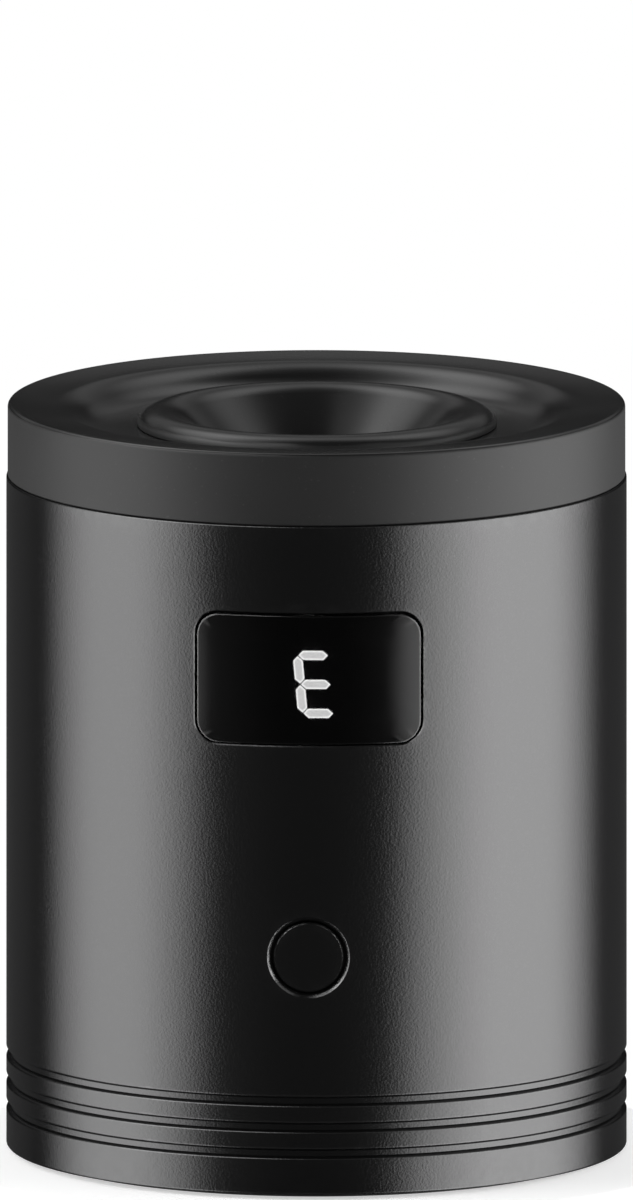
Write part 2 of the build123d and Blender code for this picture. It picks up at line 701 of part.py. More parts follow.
def lower_chassis():
    """Moulded tray: floor, four screw posts, motor cup, cell cradle and rails for the main board."""
    cup_r = DAMPER_R + CUP_WALL
    seat_r = CELL_R + SLIDE_GAP
    pilot = 8.0
    rail_x = (12.2, 15.2)
    tray = rod(FRAME_R, CHASSIS_Z, CHASSIS_FLOOR)
    tray += tube(cup_r, DAMPER_R, CHASSIS_FLOOR, DAMPER_Z[1])
    cradle = tube(seat_r + 1.35, seat_r, CHASSIS_FLOOR, 26.0, CELL_X)
    tray += (cradle - rod(DAMPER_R + 0.8, 0, 60)) & rod(FRAME_R, 0, 60)
    tray -= rod(seat_r, CHASSIS_FLOOR, 60, CELL_X)
    for x, y in around(POST_ANGLES, POST_AT):
        tray += rod(POST_R, BASE_TOP, DECK_Z, x, y)
        tray -= rod(PILOT_R, 0, CHASSIS_Z + pilot, x, y)
        tray -= rod(PILOT_R, DECK_Z - pilot - 2, DECK_Z + PAST, x, y)
    for side in (-1, 1):
        rail = block(rail_x, (-26.2, -21.6), (CHASSIS_FLOOR, 48.0))
        slot_y = (BOARD_FRONT - MOULD_GAP, BOARD_BACK + MOULD_GAP)
        rail -= block((rail_x[0] - PAST, BOARD_HALF_W + MOULD_GAP), slot_y, (BOARD_Z[0], 60))
        tray += rail if side == 1 else mirror(rail, Plane.YZ)
        x, y = side * CHARGE_SCREW_AT[0], CHARGE_SCREW_AT[1]
        tray += rod(2.2, CHASSIS_FLOOR, CHARGE_BOARD_Z, x, y)
        tray -= rod(PILOT_R - 0.25, CHASSIS_FLOOR + 1, 20, x, y)
    tray -= block((-5, 5), (-16, -12), (CHASSIS_FLOOR, 21.0))  # way out for the motor's leads
    return tray - block((12, 16), (-2.6, 2.6), (CHASSIS_FLOOR, 11.5))  # and for the cell's strip


def base_screws():
    """Four screws that pull the base plate up to the posts."""
    turned_over = Rot(180, 0, 0) * screw(PILOT_R, 9.0, 2.5, 0.85)
    return group([Pos(x, y, BASE_Z + BASE_SINK) * turned_over for x, y in around(POST_ANGLES, POST_AT)])


def deck_screws():
    piece = screw(PILOT_R, 8.0, 2.2, 1.4)
    return group([Pos(x, y, DECK_Z + DECK_T) * piece for x, y in around(POST_ANGLES, POST_AT)])


def cover_screws():
    piece = Rot(180, 0, 0) * screw(PILOT_R, 6.0, 1.8, 1.3)
    places = around(COVER_SCREW_ANGLES, COVER_SCREW_AT)
    return group([Pos(x, y, COVER_SEAT_Z - 2.0) * piece for x, y in places])


# ---- power and controls -------------------------------------------------------------------------------------
def battery_cell():
    """Rechargeable cell with its raised positive end."""
    low, high = CELL_Z
    cap_r, cap_h = CELL_CAP
    cell = chamfer(rod(CELL_R, low, high - cap_h, CELL_X).edges(), CELL_EDGE)
    return cell + rod(cap_r, high - cap_h, high, CELL_X)


def battery_tabs():
    """Welded nickel strips on both ends of the cell."""
    low, high = CELL_Z
    across = (-TAB_HALF, TAB_HALF)
    top = block((CELL_X - 6.0, CELL_X + TAB_HALF), across, (high, high + TAB_T))
    bottom = block((CELL_X - 9.6, CELL_X + 2 * TAB_HALF), across, (low - TAB_T, low))
    return group([top, bottom])


def main_board():
    """Upright circuit board behind the display and the button."""
    board = block((-BOARD_HALF_W, BOARD_HALF_W), (BOARD_FRONT, BOARD_BACK), BOARD_Z)
    for z in FRAME_SCREW_Z:
        board -= rod_y(FRAME_SCREW_R + 0.3, BOARD_FRONT - PAST, BOARD_BACK + PAST, z=z)
    return board


def board_parts():
    """Controller, motor driver, coil and capacitors on the back of the main board."""
    return group([block(across, (BOARD_BACK, BOARD_BACK + height), up) for across, height, up in CHIPS])


def front_frame():
    """Moulded frame on the main board: surrounds the digit module and guides the button's stem."""
    half_w = MODULE_HALF_W + MOULD_GAP
    half_h = MODULE_HALF_H + MOULD_GAP
    back = FRAME_Y[1]
    plate = block((-9.4, 9.4), FRAME_Y, (21.5, 69.0))
    plate -= block((-half_w, half_w), FRONT_CUT, (WINDOW_Z - half_h, WINDOW_Z + half_h))
    for x in (-8.2, 8.2):
        for z in (22.6, 43.0, 67.9):
            plate += block((x - 1.2, x + 1.2), (back, BOARD_FRONT), (z - 1.1, z + 1.1))
    for z in FRAME_SCREW_Z:
        plate += rod_y(2.2, back, BOARD_FRONT, z=z)
        plate -= rod_y(FRAME_SCREW_R, back - 0.5, BOARD_FRONT + PAST, z=z)
    return plate - rod_y(STEM_R + SLIDE_GAP, *FRONT_CUT, z=BUTTON_Z)


def frame_screws():
    """Two screws through the board into the frame."""
    head_in = Rot(-90, 0, 0) * screw(FRAME_SCREW_R, 5.6, 1.6, 0.9)
    return group([Pos(0, BOARD_BACK, z) * head_in for z in FRAME_SCREW_Z])


def segment_bars():
    """The seven bars of the digit as flat outlines, keyed by their usual letters."""
    half_t = SEGMENT_T / 2

    def bar(half, upright):
        tips = [(-half, 0), (-half + half_t, half_t), (half - half_t, half_t)]
        tips += [(half, 0), (half - half_t, -half_t), (-half + half_t, -half_t)]
        return [(z, x) for x, z in tips] if upright else tips

    w, h = DIGIT_HALF_W, DIGIT_HALF_H
    places = {
        "a": (0, h, False),
        "g": (0, 0, False),
        "d": (0, -h, False),
        "f": (-w, h / 2, True),
        "e": (-w, -h / 2, True),
        "b": (w, h / 2, True),
        "c": (w, -h / 2, True),
    }
    lean = tan(radians(DIGIT_LEAN))
    bars = {}
    for letter, (x0, z0, upright) in places.items():
        half = (h / 2 if upright else w) - SEGMENT_GAP
        points = [(x0 + x, z0 + z) for x, z in bar(half, upright)]
        bars[letter] = [(DIGIT_X + x + lean * z, DIGIT_Z + z) for x, z in points]
    return bars


def segments(letters):
    """Light guides of the named bars, flush with the face of the module."""
    pieces = []
    for letter in letters:
        corners = [(x, MODULE_FACE, z) for x, z in segment_bars()[letter]]
        pieces.append(extrude(make_face(Polyline(*corners, close=True)), SEGMENT_DEPTH, dir=(0, 1, 0)))
    return pieces


def digit_module():
    """Black block of the seven-segment display."""
    block_z = (WINDOW_Z - MODULE_HALF_H, WINDOW_Z + MODULE_HALF_H)
    module = block((-MODULE_HALF_W, MODULE_HALF_W), (MODULE_FACE, BOARD_FRONT), block_z)
    for piece in segments(LIT + UNLIT):
        module -= piece
    return module


def lit_segments():
    return group(segments(LIT))


def unlit_segments():
    return group(segments(UNLIT))


def button_cap():
    """Button: face curved with the can, flange behind the wall, stem to the switch."""
    cap = rod_y(BUTTON_R, FRONT_CUT[0], FLANGE_Y[1], z=BUTTON_Z)
    cap &= rod(BUTTON_FACE_R, BUTTON_Z - 2 * BUTTON_R, BUTTON_Z + 2 * BUTTON_R)
    cap = chamfer(cap.faces().sort_by(Axis.Y)[0].edges(), BUTTON_EDGE)
    cap += rod_y(FLANGE_R, *FLANGE_Y, z=BUTTON_Z)
    return cap + rod_y(STEM_R, FLANGE_Y[1], PLUNGER_FACE, z=BUTTON_Z)


def button_dome():
    """Silicone spring ring between the button's flange and the frame."""
    step = -31.2
    dome = rod_y(4.3, FLANGE_Y[1], step, z=BUTTON_Z) + rod_y(3.4, step, FRAME_Y[0], z=BUTTON_Z)
    return dome - rod_y(STEM_R + 0.3, FLANGE_Y[0], FRAME_Y[1], z=BUTTON_Z)


def power_switch():
    """Tactile switch on the main board."""
    half, well_r, well = 3.0, 1.8, 1.8
    body = block((-half, half), (SWITCH_FACE, BOARD_FRONT), (BUTTON_Z - half, BUTTON_Z + half))
    return body - rod_y(well_r, SWITCH_FACE - PAST, SWITCH_FACE + well, z=BUTTON_Z)


def switch_plunger():
    return rod_y(1.7, PLUNGER_FACE, SWITCH_FACE + 0.6, z=BUTTON_Z)


def charge_board():
    """Small board that carries the charging socket."""
    half_w, front, back = 8.0, 17.6, 31.4
    board = block((-half_w, half_w), (front, back), (CHARGE_BOARD_Z, CHARGE_BOARD_Z + CHARGE_BOARD_T))
    x, y = CHARGE_SCREW_AT
    for side in (-1, 1):
        board -= rod(1.1, CHARGE_BOARD_Z - PAST, CHARGE_BOARD_Z + CHARGE_BOARD_T + PAST, side * x, y)
    return board


def charge_screws():
    piece = screw(PILOT_R - 0.25, 5.0, 1.7, 1.0)
    x, y = CHARGE_SCREW_AT
    return group([Pos(side * x, y, CHARGE_BOARD_Z + CHARGE_BOARD_T) * piece for side in (-1, 1)])


def socket_shell():
    """Stainless shell of the charging socket, open to the back."""
    front, back = SOCKET_Y
    return socket_bar(0, front, back) - socket_bar(SHELL_T, front + CHARGE_BOARD_T, back + PAST)


def socket_tongue():
    """Plastic tongue with its base inside the shell."""
    root = SOCKET_Y[0] + CHARGE_BOARD_T
    half_w, half_t = 3.3, 0.35
    base_t, tip = 1.2, SOCKET_Y[1] - 0.9
    base = socket_bar(SHELL_T, root, root + base_t)
    return base + block((-half_w, half_w), (root + base_t, tip), (SOCKET_Z - half_t, SOCKET_Z + half_t))


def lead(*points):
    """Insulated wire through the given points, with round bends."""
    route = FilletPolyline(*points, radius=LEAD_BEND)
    return sweep(Plane(route @ 0, z_dir=route % 0) * Circle(LEAD_R), route)


def motor_lead(side):
    """From a motor terminal through the gate in the chassis and up to the main board."""
    tab_x, x, y, low, high = side * TERMINAL_X, side * 2.6, -18.5, 13.5, 24.0
    tab_z = MOTOR_BASE - TERMINAL_DROP
    return lead((tab_x, 0, tab_z), (tab_x, 0, low), (x, y, low), (x, y, high), (x, BOARD_BACK, high))


def charge_lead(x, lift):
    """From the charging board round the motor to the main board."""
    y, z = 18.6, 21.5 + lift
    board_top = CHARGE_BOARD_Z + CHARGE_BOARD_T
    return lead((x, y, board_top), (x, y, z), (-22.5, 5.5, z), (-10, -18.5, z), (-10, BOARD_BACK, z))


def positive_leads():
    """Motor, charging and cell leads of the positive side."""
    top = CELL_Z[1] + TAB_T
    over = 47.5
    cell = lead((20, 0, top), (20, 0, over), (10, -18.5, over), (10, BOARD_BACK, over))
    return group([motor_lead(1), charge_lead(-2.7, 0), cell])


def negative_leads():
    """Motor, charging and cell leads of the negative side."""
    low = CELL_Z[0] + LEAD_R
    high = 21.0
    cell = lead((14.6, 0, low), (8, 0, low), (0, -18.5, low), (0, -18.5, high), (0, BOARD_BACK, high))
    return group([motor_lead(-1), charge_lead(-0.3, LEAD_SPACING), cell])


PARTS = (
    outer_sleeve, display_lens, top_cover, base_plate, foot_ring,
    bottle_cup, cup_carrier, splash_seal,
    bearing_inner_race, bearing_outer_race, bearing_shields, bearing_balls, ball_cage,
    crank_hub, counterweight, hub_set_screw, bearing_washer, bearing_screw,
    motor_can, motor_end_bell, motor_bushings, motor_terminals, motor_brushes, motor_magnets,
    motor_shaft, armature_core, armature_windings, commutator, commutator_tube,
    motor_screws, motor_damper,
    upper_deck, lower_chassis, base_screws, deck_screws, cover_screws,
    battery_cell, battery_tabs, main_board, board_parts, front_frame, frame_screws,
    digit_module, lit_segments, unlit_segments,
    button_cap, button_dome, power_switch, switch_plunger,
    charge_board, charge_screws, socket_shell, socket_tongue, positive_leads, negative_leads,
)


def main():
    os.makedirs("parts", exist_ok=True)
    for make in PARTS:
        export_step(make(), f"parts/{make.__name__}.step")


main()
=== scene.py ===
"""Finishes and finely modelled skins for a table-top bottle shaker, laid out as an add-on.

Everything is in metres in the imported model's own frame: +Z up, the front at -Y, the table at Z = 0.
"""

from math import asin, atan, cos, pi, radians, sin, tan
import json

import bmesh
import bpy
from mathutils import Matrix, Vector


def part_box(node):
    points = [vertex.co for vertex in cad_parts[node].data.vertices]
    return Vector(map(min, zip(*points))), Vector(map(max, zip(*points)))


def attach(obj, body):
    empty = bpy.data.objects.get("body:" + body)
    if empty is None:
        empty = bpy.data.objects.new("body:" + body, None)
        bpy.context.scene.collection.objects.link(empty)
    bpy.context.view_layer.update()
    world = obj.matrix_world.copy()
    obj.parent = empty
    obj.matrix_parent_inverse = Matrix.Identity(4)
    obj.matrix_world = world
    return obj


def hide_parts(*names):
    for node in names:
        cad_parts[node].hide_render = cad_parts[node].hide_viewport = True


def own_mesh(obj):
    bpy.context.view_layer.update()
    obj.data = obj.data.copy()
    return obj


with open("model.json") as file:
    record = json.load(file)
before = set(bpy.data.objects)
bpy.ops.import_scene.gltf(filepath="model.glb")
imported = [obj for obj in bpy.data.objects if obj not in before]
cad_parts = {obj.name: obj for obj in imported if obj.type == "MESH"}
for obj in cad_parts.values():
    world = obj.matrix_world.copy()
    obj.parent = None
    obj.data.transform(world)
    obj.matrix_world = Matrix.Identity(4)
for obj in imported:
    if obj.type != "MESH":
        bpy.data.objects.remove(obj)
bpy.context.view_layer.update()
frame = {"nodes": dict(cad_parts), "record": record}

bl_info = {
    "name": "Bottle Shaker",
    "version": (1, 0, 0),
    "blender": (4, 5, 0),
    "location": "View3D > Sidebar > Shaker",
    "description": "Builds the skins, finishes and stage of a table-top bottle shaker",
    "category": "Object",
}

MM = 0.001
CAN_LOW, CAN_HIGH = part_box("outer_sleeve")
LENS_LOW, LENS_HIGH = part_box("display_lens")
COVER_LOW, COVER_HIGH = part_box("top_cover")
CUP_LOW, CUP_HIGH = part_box("bottle_cup")
BUTTON_LOW, BUTTON_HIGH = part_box("button_cap")
SOCKET_LOW, SOCKET_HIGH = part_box("socket_shell")

COLUMNS = 240  # facets round the can
ARC_STEPS = 5  # facets in half a corner of a rounded loop
SHARP_ANGLE = radians(35)  # edges that turn by more than this stay crisp
FRONT, BACK = 0.0, pi  # bearings of the openings, from -Y towards +X
BORE_STEP = 33.1 * MM  # radius where the flanges of lens and button bear on the can's bore
FLANGE_BACK = 31.9 * MM  # radius of the back of those flanges


# ---- what a user would change --------------------------------------------------------------------
def length(name, about, value):
    """Property that holds a length in metres."""
    return bpy.props.FloatProperty(name=name, description=about, default=value, unit="LENGTH", precision=5)


def colour(name, about, value):
    """Property that holds a scene-linear colour."""
    return bpy.props.FloatVectorProperty(
        name=name, description=about, default=value, subtype="COLOR", size=3, min=0.0, max=1.0
    )


def level(name, about, value, high):
    """Property that holds a plain number from 0 to high."""
    return bpy.props.FloatProperty(name=name, description=about, default=value, min=0.0, max=high)


class ShakerSizes(bpy.types.PropertyGroup):
    """Sizes of the visible skins."""

    wall: length("Can wall", "Thickness of the metal can", 1.8 * MM)
    edge: length("Can edge", "Rounding of the can's lower edge", 0.3 * MM)
    groove_height: length("Lowest groove", "Middle of the lowest groove above the table", 5.3 * MM)
    groove_pitch: length("Groove pitch", "Distance between the grooves", 3.0 * MM)
    groove_width: length("Groove width", "Width of a groove at the surface", 1.2 * MM)
    groove_floor: length("Groove floor", "Width of a groove at its floor", 0.6 * MM)
    groove_depth: length("Groove depth", "Depth of a groove", 0.5 * MM)
    window_width: length("Window width", "Opening for the lens, across", 25.8 * MM)
    window_height: length("Window height", "Opening for the lens, up", 15.2 * MM)
    window_corner: length("Window corner", "Corner radius of the window", 2.7 * MM)
    lens_gap: length("Lens gap", "Gap between lens and can", 0.15 * MM)
    lens_rest: length("Lens rest", "How far the lens rests below the window's middle", 0.1 * MM)
    button_hole: length("Button hole", "Radius of the button's hole", 4.2 * MM)
    button_radius: length("Button radius", "Radius of the button", 4.0 * MM)
    button_chamfer: length("Hole chamfer", "Chamfer round the button's hole", 0.47 * MM)
    socket_gap: length("Socket gap", "Gap round the charging socket", 0.35 * MM)
    rim_round: length("Rim rounding", "Rounding of the soft top's outer edge", 0.5 * MM)
    valley_radius: length("Valley radius", "Outer radius of the flat floor round the cup", 23.6 * MM)
    valley_depth: length("Valley depth", "Depth of the valley below the rim", 2.8 * MM)
    rim_dish: length("Rim dish", "How much the rim falls towards the valley", 0.35 * MM)
    rim_radius: length("Rim radius", "Inner radius of the rim", 29.8 * MM)
    lip_radius: length("Lip radius", "Radius of the cup's lip", 17.2 * MM)
    cup_floor: length("Cup floor", "Radius of the cup's floor", 5.6 * MM)
    cup_floor_height: length("Cup floor height", "Cup floor above the table", 74.6 * MM)


class ShakerColours(bpy.types.PropertyGroup):
    """Colours of the finishes, as scene-linear values."""

    anodised: colour("Anodised metal", "Dyed metal of the can and the button", (0.0605, 0.0605, 0.0608))
    silicone: colour("Silicone", "Soft top and cup", (0.012, 0.012, 0.012))
    lens: colour("Lens tint", "Smoked acrylic", (0.035, 0.035, 0.035))
    rubber: colour("Rubber", "Foot ring and motor collar", (0.022, 0.022, 0.022))
    plastic: colour("Black plastic", "Base plate and inner frames", (0.022, 0.022, 0.023))
    light: colour("Digit", "Lit segments", (0.9, 0.9, 0.9))


class ShakerStage(bpy.types.PropertyGroup):
    """Camera, lamps and background."""

    azimuth: bpy.props.FloatProperty(
        name="Azimuth", description="Camera bearing", default=radians(1.5), subtype="ANGLE"
    )
    elevation: bpy.props.FloatProperty(
        name="Elevation", description="Camera height angle", default=radians(9.8), subtype="ANGLE"
    )
    frame_height: length("Frame height", "Height that the picture covers", 135.4 * MM)
    aim_height: length("Aim height", "Height of the picture's centre on the can's axis", 62.72 * MM)
    left_light: level("Left light", "Radiant power of the left softbox in watts", 17.3, 500.0)
    right_light: level("Right light", "Radiant power of the right softbox in watts", 26.8, 500.0)
    ambient: level("Ambient", "Brightness of the room on matt surfaces", 0.12, 4.0)
    table_radius: length("Table radius", "Radius of the pale table", 45 * MM)


# ---- mesh tools ----------------------------------------------------------------------------------
def arc(centre, radius, start, end, steps):
    """Points on an arc in the (radius, height) plane, angles in degrees from +radius towards +height."""
    angles = [radians(start + (end - start) * n / steps) for n in range(steps + 1)]
    return [(centre[0] + radius * cos(a), centre[1] + radius * sin(a)) for a in angles]


def tangent_arc(start, corner, end, steps):
    """Round stretch from start to end that touches both legs of the corner, the legs being equally long."""
    points = []
    for n in range(steps + 1):
        t = n / steps
        weight = ((1 - t) ** 2, 2 * t * (1 - t) * corner_weight(start, corner, end), t**2)
        total = sum(weight)
        points.append(tuple((weight[0] * s + weight[1] * c + weight[2] * e) / total
                            for s, c, e in zip(start, corner, end)))
    return points


def corner_weight(start, corner, end):
    """Middle weight that makes a rational curve of second degree a true circular arc."""
    leg, chord = Vector(corner) - Vector(start), Vector(end) - Vector(start)
    return leg.normalized().dot(chord.normalized())


def around(angle, radius, height, centre=(0.0, 0.0)):
    """Point on a ring, the angle measured from the front towards +X."""
    return (centre[0] + radius * sin(angle), centre[1] - radius * cos(angle), height)


def bridge(bm, lower, upper):
    """Faces between two closed loops of as many vertices."""
    for n in range(len(lower)):
        m = (n + 1) % len(lower)
        bm.faces.new((lower[n], lower[m], upper[m], upper[n]))


def lathe(bm, outline, centre=(0.0, 0.0), closed=True):
    """Turned body from an outline of (radius, height) points; a radius of 0 closes it on the axis."""
    rings = []
    for r, z in outline:
        if r < 1e-7:
            rings.append([bm.verts.new((centre[0], centre[1], z))])
        else:
            rings.append([bm.verts.new(around(2 * pi * n / COLUMNS, r, z, centre)) for n in range(COLUMNS)])
    pairs = list(zip(rings, rings[1:])) + ([(rings[-1], rings[0])] if closed else [])
    for low, high in pairs:
        if len(low) == len(high) == 1:
            continue
        if len(low) == 1 or len(high) == 1:
            tip, ring = (low[0], high) if len(low) == 1 else (high[0], low)
            for n in range(COLUMNS):
                bm.faces.new((tip, ring[n], ring[(n + 1) % COLUMNS]))
        else:
            bridge(bm, low, high)


def rounded_loop(width, height, corner, across, up):
    """Rounded rectangle of 2 * (across + up) points, from the lower left corner's middle towards +X."""
    a, b = width / 2 - corner, height / 2 - corner
    corners = [(-a, -b), (a, -b), (a, b), (-a, b)]
    loop = []
    for side in range(4):
        (x0, z0), (x1, z1) = corners[side], corners[(side + 1) % 4]
        count = up if side % 2 else across
        bends = ARC_STEPS if abs(x1 - x0) + abs(z1 - z0) > 1e-7 else count // 2
        angle = radians(225 + 90 * side)
        for n in range(bends):
            turn = angle + radians(45) * n / bends
            loop.append((x0 + corner * cos(turn), z0 + corner * sin(turn)))
        out = (corner * cos(angle + radians(45)), corner * sin(angle + radians(45)))
        for n in range(count - 2 * bends):
            t = n / (count - 2 * bends)
            loop.append((x0 + (x1 - x0) * t + out[0], z0 + (z1 - z0) * t + out[1]))
        for n in range(bends):
            turn = angle + radians(45) + radians(45) * n / bends
            loop.append((x1 + corner * cos(turn), z1 + corner * sin(turn)))
    return loop


def wrapped(bm, loop, radius, height, bearing=FRONT):
    """Vertices of a flat loop, seen square on, laid on an upright cylinder."""
    return [bm.verts.new(around(bearing + asin(x / radius), radius, height + z)) for x, z in loop]


def filled(bm, edge, loop, radius, height, across, up):
    """Closes a wrapped loop with rings and a grid, so that the curved face shades evenly."""
    grid_w, grid_h, rings = 0.72, 0.62, 3  # shares of the loop that the grid fills, and rings round it
    half_w, half_h = max(p[0] for p in loop) * grid_w, max(p[1] for p in loop) * grid_h
    columns = [-half_w + 2 * half_w * n / across for n in range(across + 1)]
    rows = [-half_h + 2 * half_h * n / up for n in range(up + 1)]
    grid = [wrapped(bm, [(x, z) for x in columns], radius, height) for z in rows]
    for j in range(up):
        for i in range(across):
            bm.faces.new((grid[j][i], grid[j][i + 1], grid[j + 1][i + 1], grid[j + 1][i]))
    border = [(i, 0) for i in range(across)] + [(across, j) for j in range(up)]
    border += [(i, up) for i in range(across, 0, -1)] + [(0, j) for j in range(up, 0, -1)]
    outer = edge
    for ring in range(1, rings):
        t = ring / rings
        flat = [(x + (columns[i] - x) * t, z + (rows[j] - z) * t) for (x, z), (i, j) in zip(loop, border)]
        inner = wrapped(bm, flat, radius, height)
        bridge(bm, outer, inner)
        outer = inner
    bridge(bm, outer, [grid[j][i] for i, j in border])


def node_mesh(name):
    """A CAD node's own mesh, where it stands, with its flat faces in one piece."""
    source = frame["nodes"][name]
    bm = bmesh.new()
    bm.from_mesh(source.data)
    bm.transform(source.matrix_world)
    bmesh.ops.dissolve_limit(bm, angle_limit=radians(1), verts=bm.verts, edges=bm.edges)
    return bm


def piece(name, bm, body, material, stands_for):
    """Makes a mesh object, shades it, ties it to its body, and hides the CAD node that it stands for."""
    bmesh.ops.recalc_face_normals(bm, faces=bm.faces)
    mesh = bpy.data.meshes.new(name)
    bm.to_mesh(mesh)
    bm.free()
    mesh.shade_smooth()
    mesh.set_sharp_from_angle(angle=SHARP_ANGLE)
    obj = bpy.data.objects.new(name, mesh)
    bpy.context.scene.collection.objects.link(obj)
    mesh.materials.append(material)
    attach(obj, body)
    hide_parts(stands_for)
    crisp(obj)
    return obj


def crisp(obj):
    """Lets large faces set the normals, so that narrow bevels stay narrow."""
    weighted = obj.modifiers.new("weighted", "WEIGHTED_NORMAL")
    weighted.keep_sharp = True
    shaded = bpy.data.meshes.new_from_object(obj.evaluated_get(bpy.context.evaluated_depsgraph_get()))
    shaded.name = obj.name
    obj.modifiers.clear()
    obj.data = shaded


# ---- shader groups -------------------------------------------------------------------------------
def shader_group(name, inputs, outputs):
    """Empty group with named sockets; inputs maps each name to (kind, default)."""
    group = bpy.data.node_groups.new(name, "ShaderNodeTree")
    for label, (kind, value) in inputs.items():
        socket = group.interface.new_socket(label, in_out="INPUT", socket_type=kind)
        if value is not None:
            socket.default_value = value
    for label, kind in outputs.items():
        group.interface.new_socket(label, in_out="OUTPUT", socket_type=kind)
    return group, group.nodes.new("NodeGroupInput"), group.nodes.new("NodeGroupOutput")


def noise(tree, vector, scale, detail=2.0, roughness=0.5):
    """Noise texture node; scale is a socket or a number."""
    node = tree.nodes.new("ShaderNodeTexNoise")
    node.inputs["Detail"].default_value = detail
    node.inputs["Roughness"].default_value = roughness
    tree.links.new(vector, node.inputs["Vector"])
    feed(tree, scale, node.inputs["Scale"])
    return node.outputs["Fac"]


def feed(tree, source, socket):
    """Links a socket, or sets a plain value."""
    if isinstance(source, bpy.types.NodeSocket):
        tree.links.new(source, socket)
    else:
        socket.default_value = source


def math(tree, operation, a, b=0.0, clamp=False):
    """Math node on two sockets or numbers."""
    node = tree.nodes.new("ShaderNodeMath")
    node.operation = operation
    node.use_clamp = clamp
    feed(tree, a, node.inputs[0])
    feed(tree, b, node.inputs[1])
    return node.outputs[0]


def spread(tree, value, low, high, to_low=0.0, to_high=1.0):
    """Maps a value from one range to another, held within it."""
    node = tree.nodes.new("ShaderNodeMapRange")
    for label, number in (("From Min", low), ("From Max", high), ("To Min", to_low), ("To Max", to_high)):
        feed(tree, number, node.inputs[label])
    tree.links.new(value, node.inputs["Value"])
    return node.outputs["Result"]


def tint(tree, factor, dark, light):
    """Mixes two colours by a factor."""
    node = tree.nodes.new("ShaderNodeMix")
    node.data_type = "RGBA"
    feed(tree, factor, node.inputs["Factor"])
    feed(tree, dark, node.inputs["A"])
    feed(tree, light, node.inputs["B"])
    return node.outputs["Result"]


def blast_grain():
    """Fine pits of a blasted surface: a height for Bump and a mask of brighter flecks."""
    group, given, result = shader_group(
        "blast_grain",
        {"Vector": ("NodeSocketVector", None), "Scale": ("NodeSocketFloat", 5000.0)},
        {"Height": "NodeSocketFloat", "Fleck": "NodeSocketFloat"},
    )
    fine = noise(group, given.outputs["Vector"], given.outputs["Scale"], 3.0, 0.6)
    coarse = noise(group, given.outputs["Vector"], math(group, "MULTIPLY", given.outputs["Scale"], 0.37), 2.0)
    height = math(group, "ADD", math(group, "MULTIPLY", fine, 0.8), math(group, "MULTIPLY", coarse, 0.2))
    group.links.new(height, result.inputs["Height"])
    group.links.new(spread(group, height, 0.50, 0.66), result.inputs["Fleck"])
    return group


def edge_wear():
    """Mask that is 1 on exposed edges and 0 elsewhere, broken up by noise."""
    group, given, result = shader_group(
        "edge_wear",
        {"Vector": ("NodeSocketVector", None), "Amount": ("NodeSocketFloat", 0.5)},
        {"Mask": "NodeSocketFloat"},
    )
    geometry = group.nodes.new("ShaderNodeNewGeometry")
    edge = spread(group, geometry.outputs["Pointiness"], 0.505, 0.56)
    patchy = spread(group, noise(group, given.outputs["Vector"], 900.0, 4.0), 0.35, 0.65)
    mask = math(group, "MULTIPLY", math(group, "MULTIPLY", edge, patchy), given.outputs["Amount"], clamp=True)
    group.links.new(mask, result.inputs["Mask"])
    return group


def handling():
    """Cloudy smudges and fine dust: a mask for roughness and one for colour."""
    group, given, result = shader_group(
        "handling",
        {"Vector": ("NodeSocketVector", None), "Cloud Scale": ("NodeSocketFloat", 60.0)},
        {"Smudge": "NodeSocketFloat", "Dust": "NodeSocketFloat"},
    )
    cloud = noise(group, given.outputs["Vector"], given.outputs["Cloud Scale"], 4.0, 0.55)
    group.links.new(spread(group, cloud, 0.35, 0.65), result.inputs["Smudge"])
    speck = noise(group, given.outputs["Vector"], 2600.0, 1.0)
    group.links.new(spread(group, speck, 0.70, 0.78), result.inputs["Dust"])
    return group


def moulded_skin():
    """Spark-eroded skin of moulded plastic: a height for Bump and a slow change of gloss."""
    group, given, result = shader_group(
        "moulded_skin",
        {"Vector": ("NodeSocketVector", None), "Scale": ("NodeSocketFloat", 3000.0)},
        {"Height": "NodeSocketFloat", "Gloss": "NodeSocketFloat"},
    )
    cells = group.nodes.new("ShaderNodeTexVoronoi")
    group.links.new(given.outputs["Vector"], cells.inputs["Vector"])
    group.links.new(given.outputs["Scale"], cells.inputs["Scale"])
    fine = noise(group, given.outputs["Vector"], given.outputs["Scale"], 3.0)
    group.links.new(math(group, "ADD", cells.outputs["Distance"], fine), result.inputs["Height"])
    group.links.new(noise(group, given.outputs["Vector"], 120.0, 3.0), result.inputs["Gloss"])
    return group


def group_node(tree, builder, vector, **values):
    """Places a shared group, building it the first time."""
    group = bpy.data.node_groups.get(builder.__name__) or builder()
    node = tree.nodes.new("ShaderNodeGroup")
    node.node_tree = group
    tree.links.new(vector, node.inputs["Vector"])
    for label, value in values.items():
        node.inputs[label.replace("_", " ")].default_value = value
    return node.outputs


def new_material(name):
    """Material with a Principled shader; gives the tree, the shader and object coordinates."""
    material = bpy.data.materials.new(name)
    material.use_nodes = True
    tree = material.node_tree
    shader = tree.nodes["Principled BSDF"]
    place = tree.nodes.new("ShaderNodeTexCoord").outputs["Object"]
    return material, tree, shader, place


def bump(tree, shader, height, strength, distance):
    """Turns a height into small slopes of the surface."""
    node = tree.nodes.new("ShaderNodeBump")
    node.inputs["Strength"].default_value = strength
    node.inputs["Distance"].default_value = distance
    tree.links.new(height, node.inputs["Height"])
    tree.links.new(node.outputs["Normal"], shader.inputs["Normal"])


def shade(value, factor):
    """A colour made lighter or darker, with alpha."""
    return (*[min(1.0, c * factor) for c in value], 1.0)


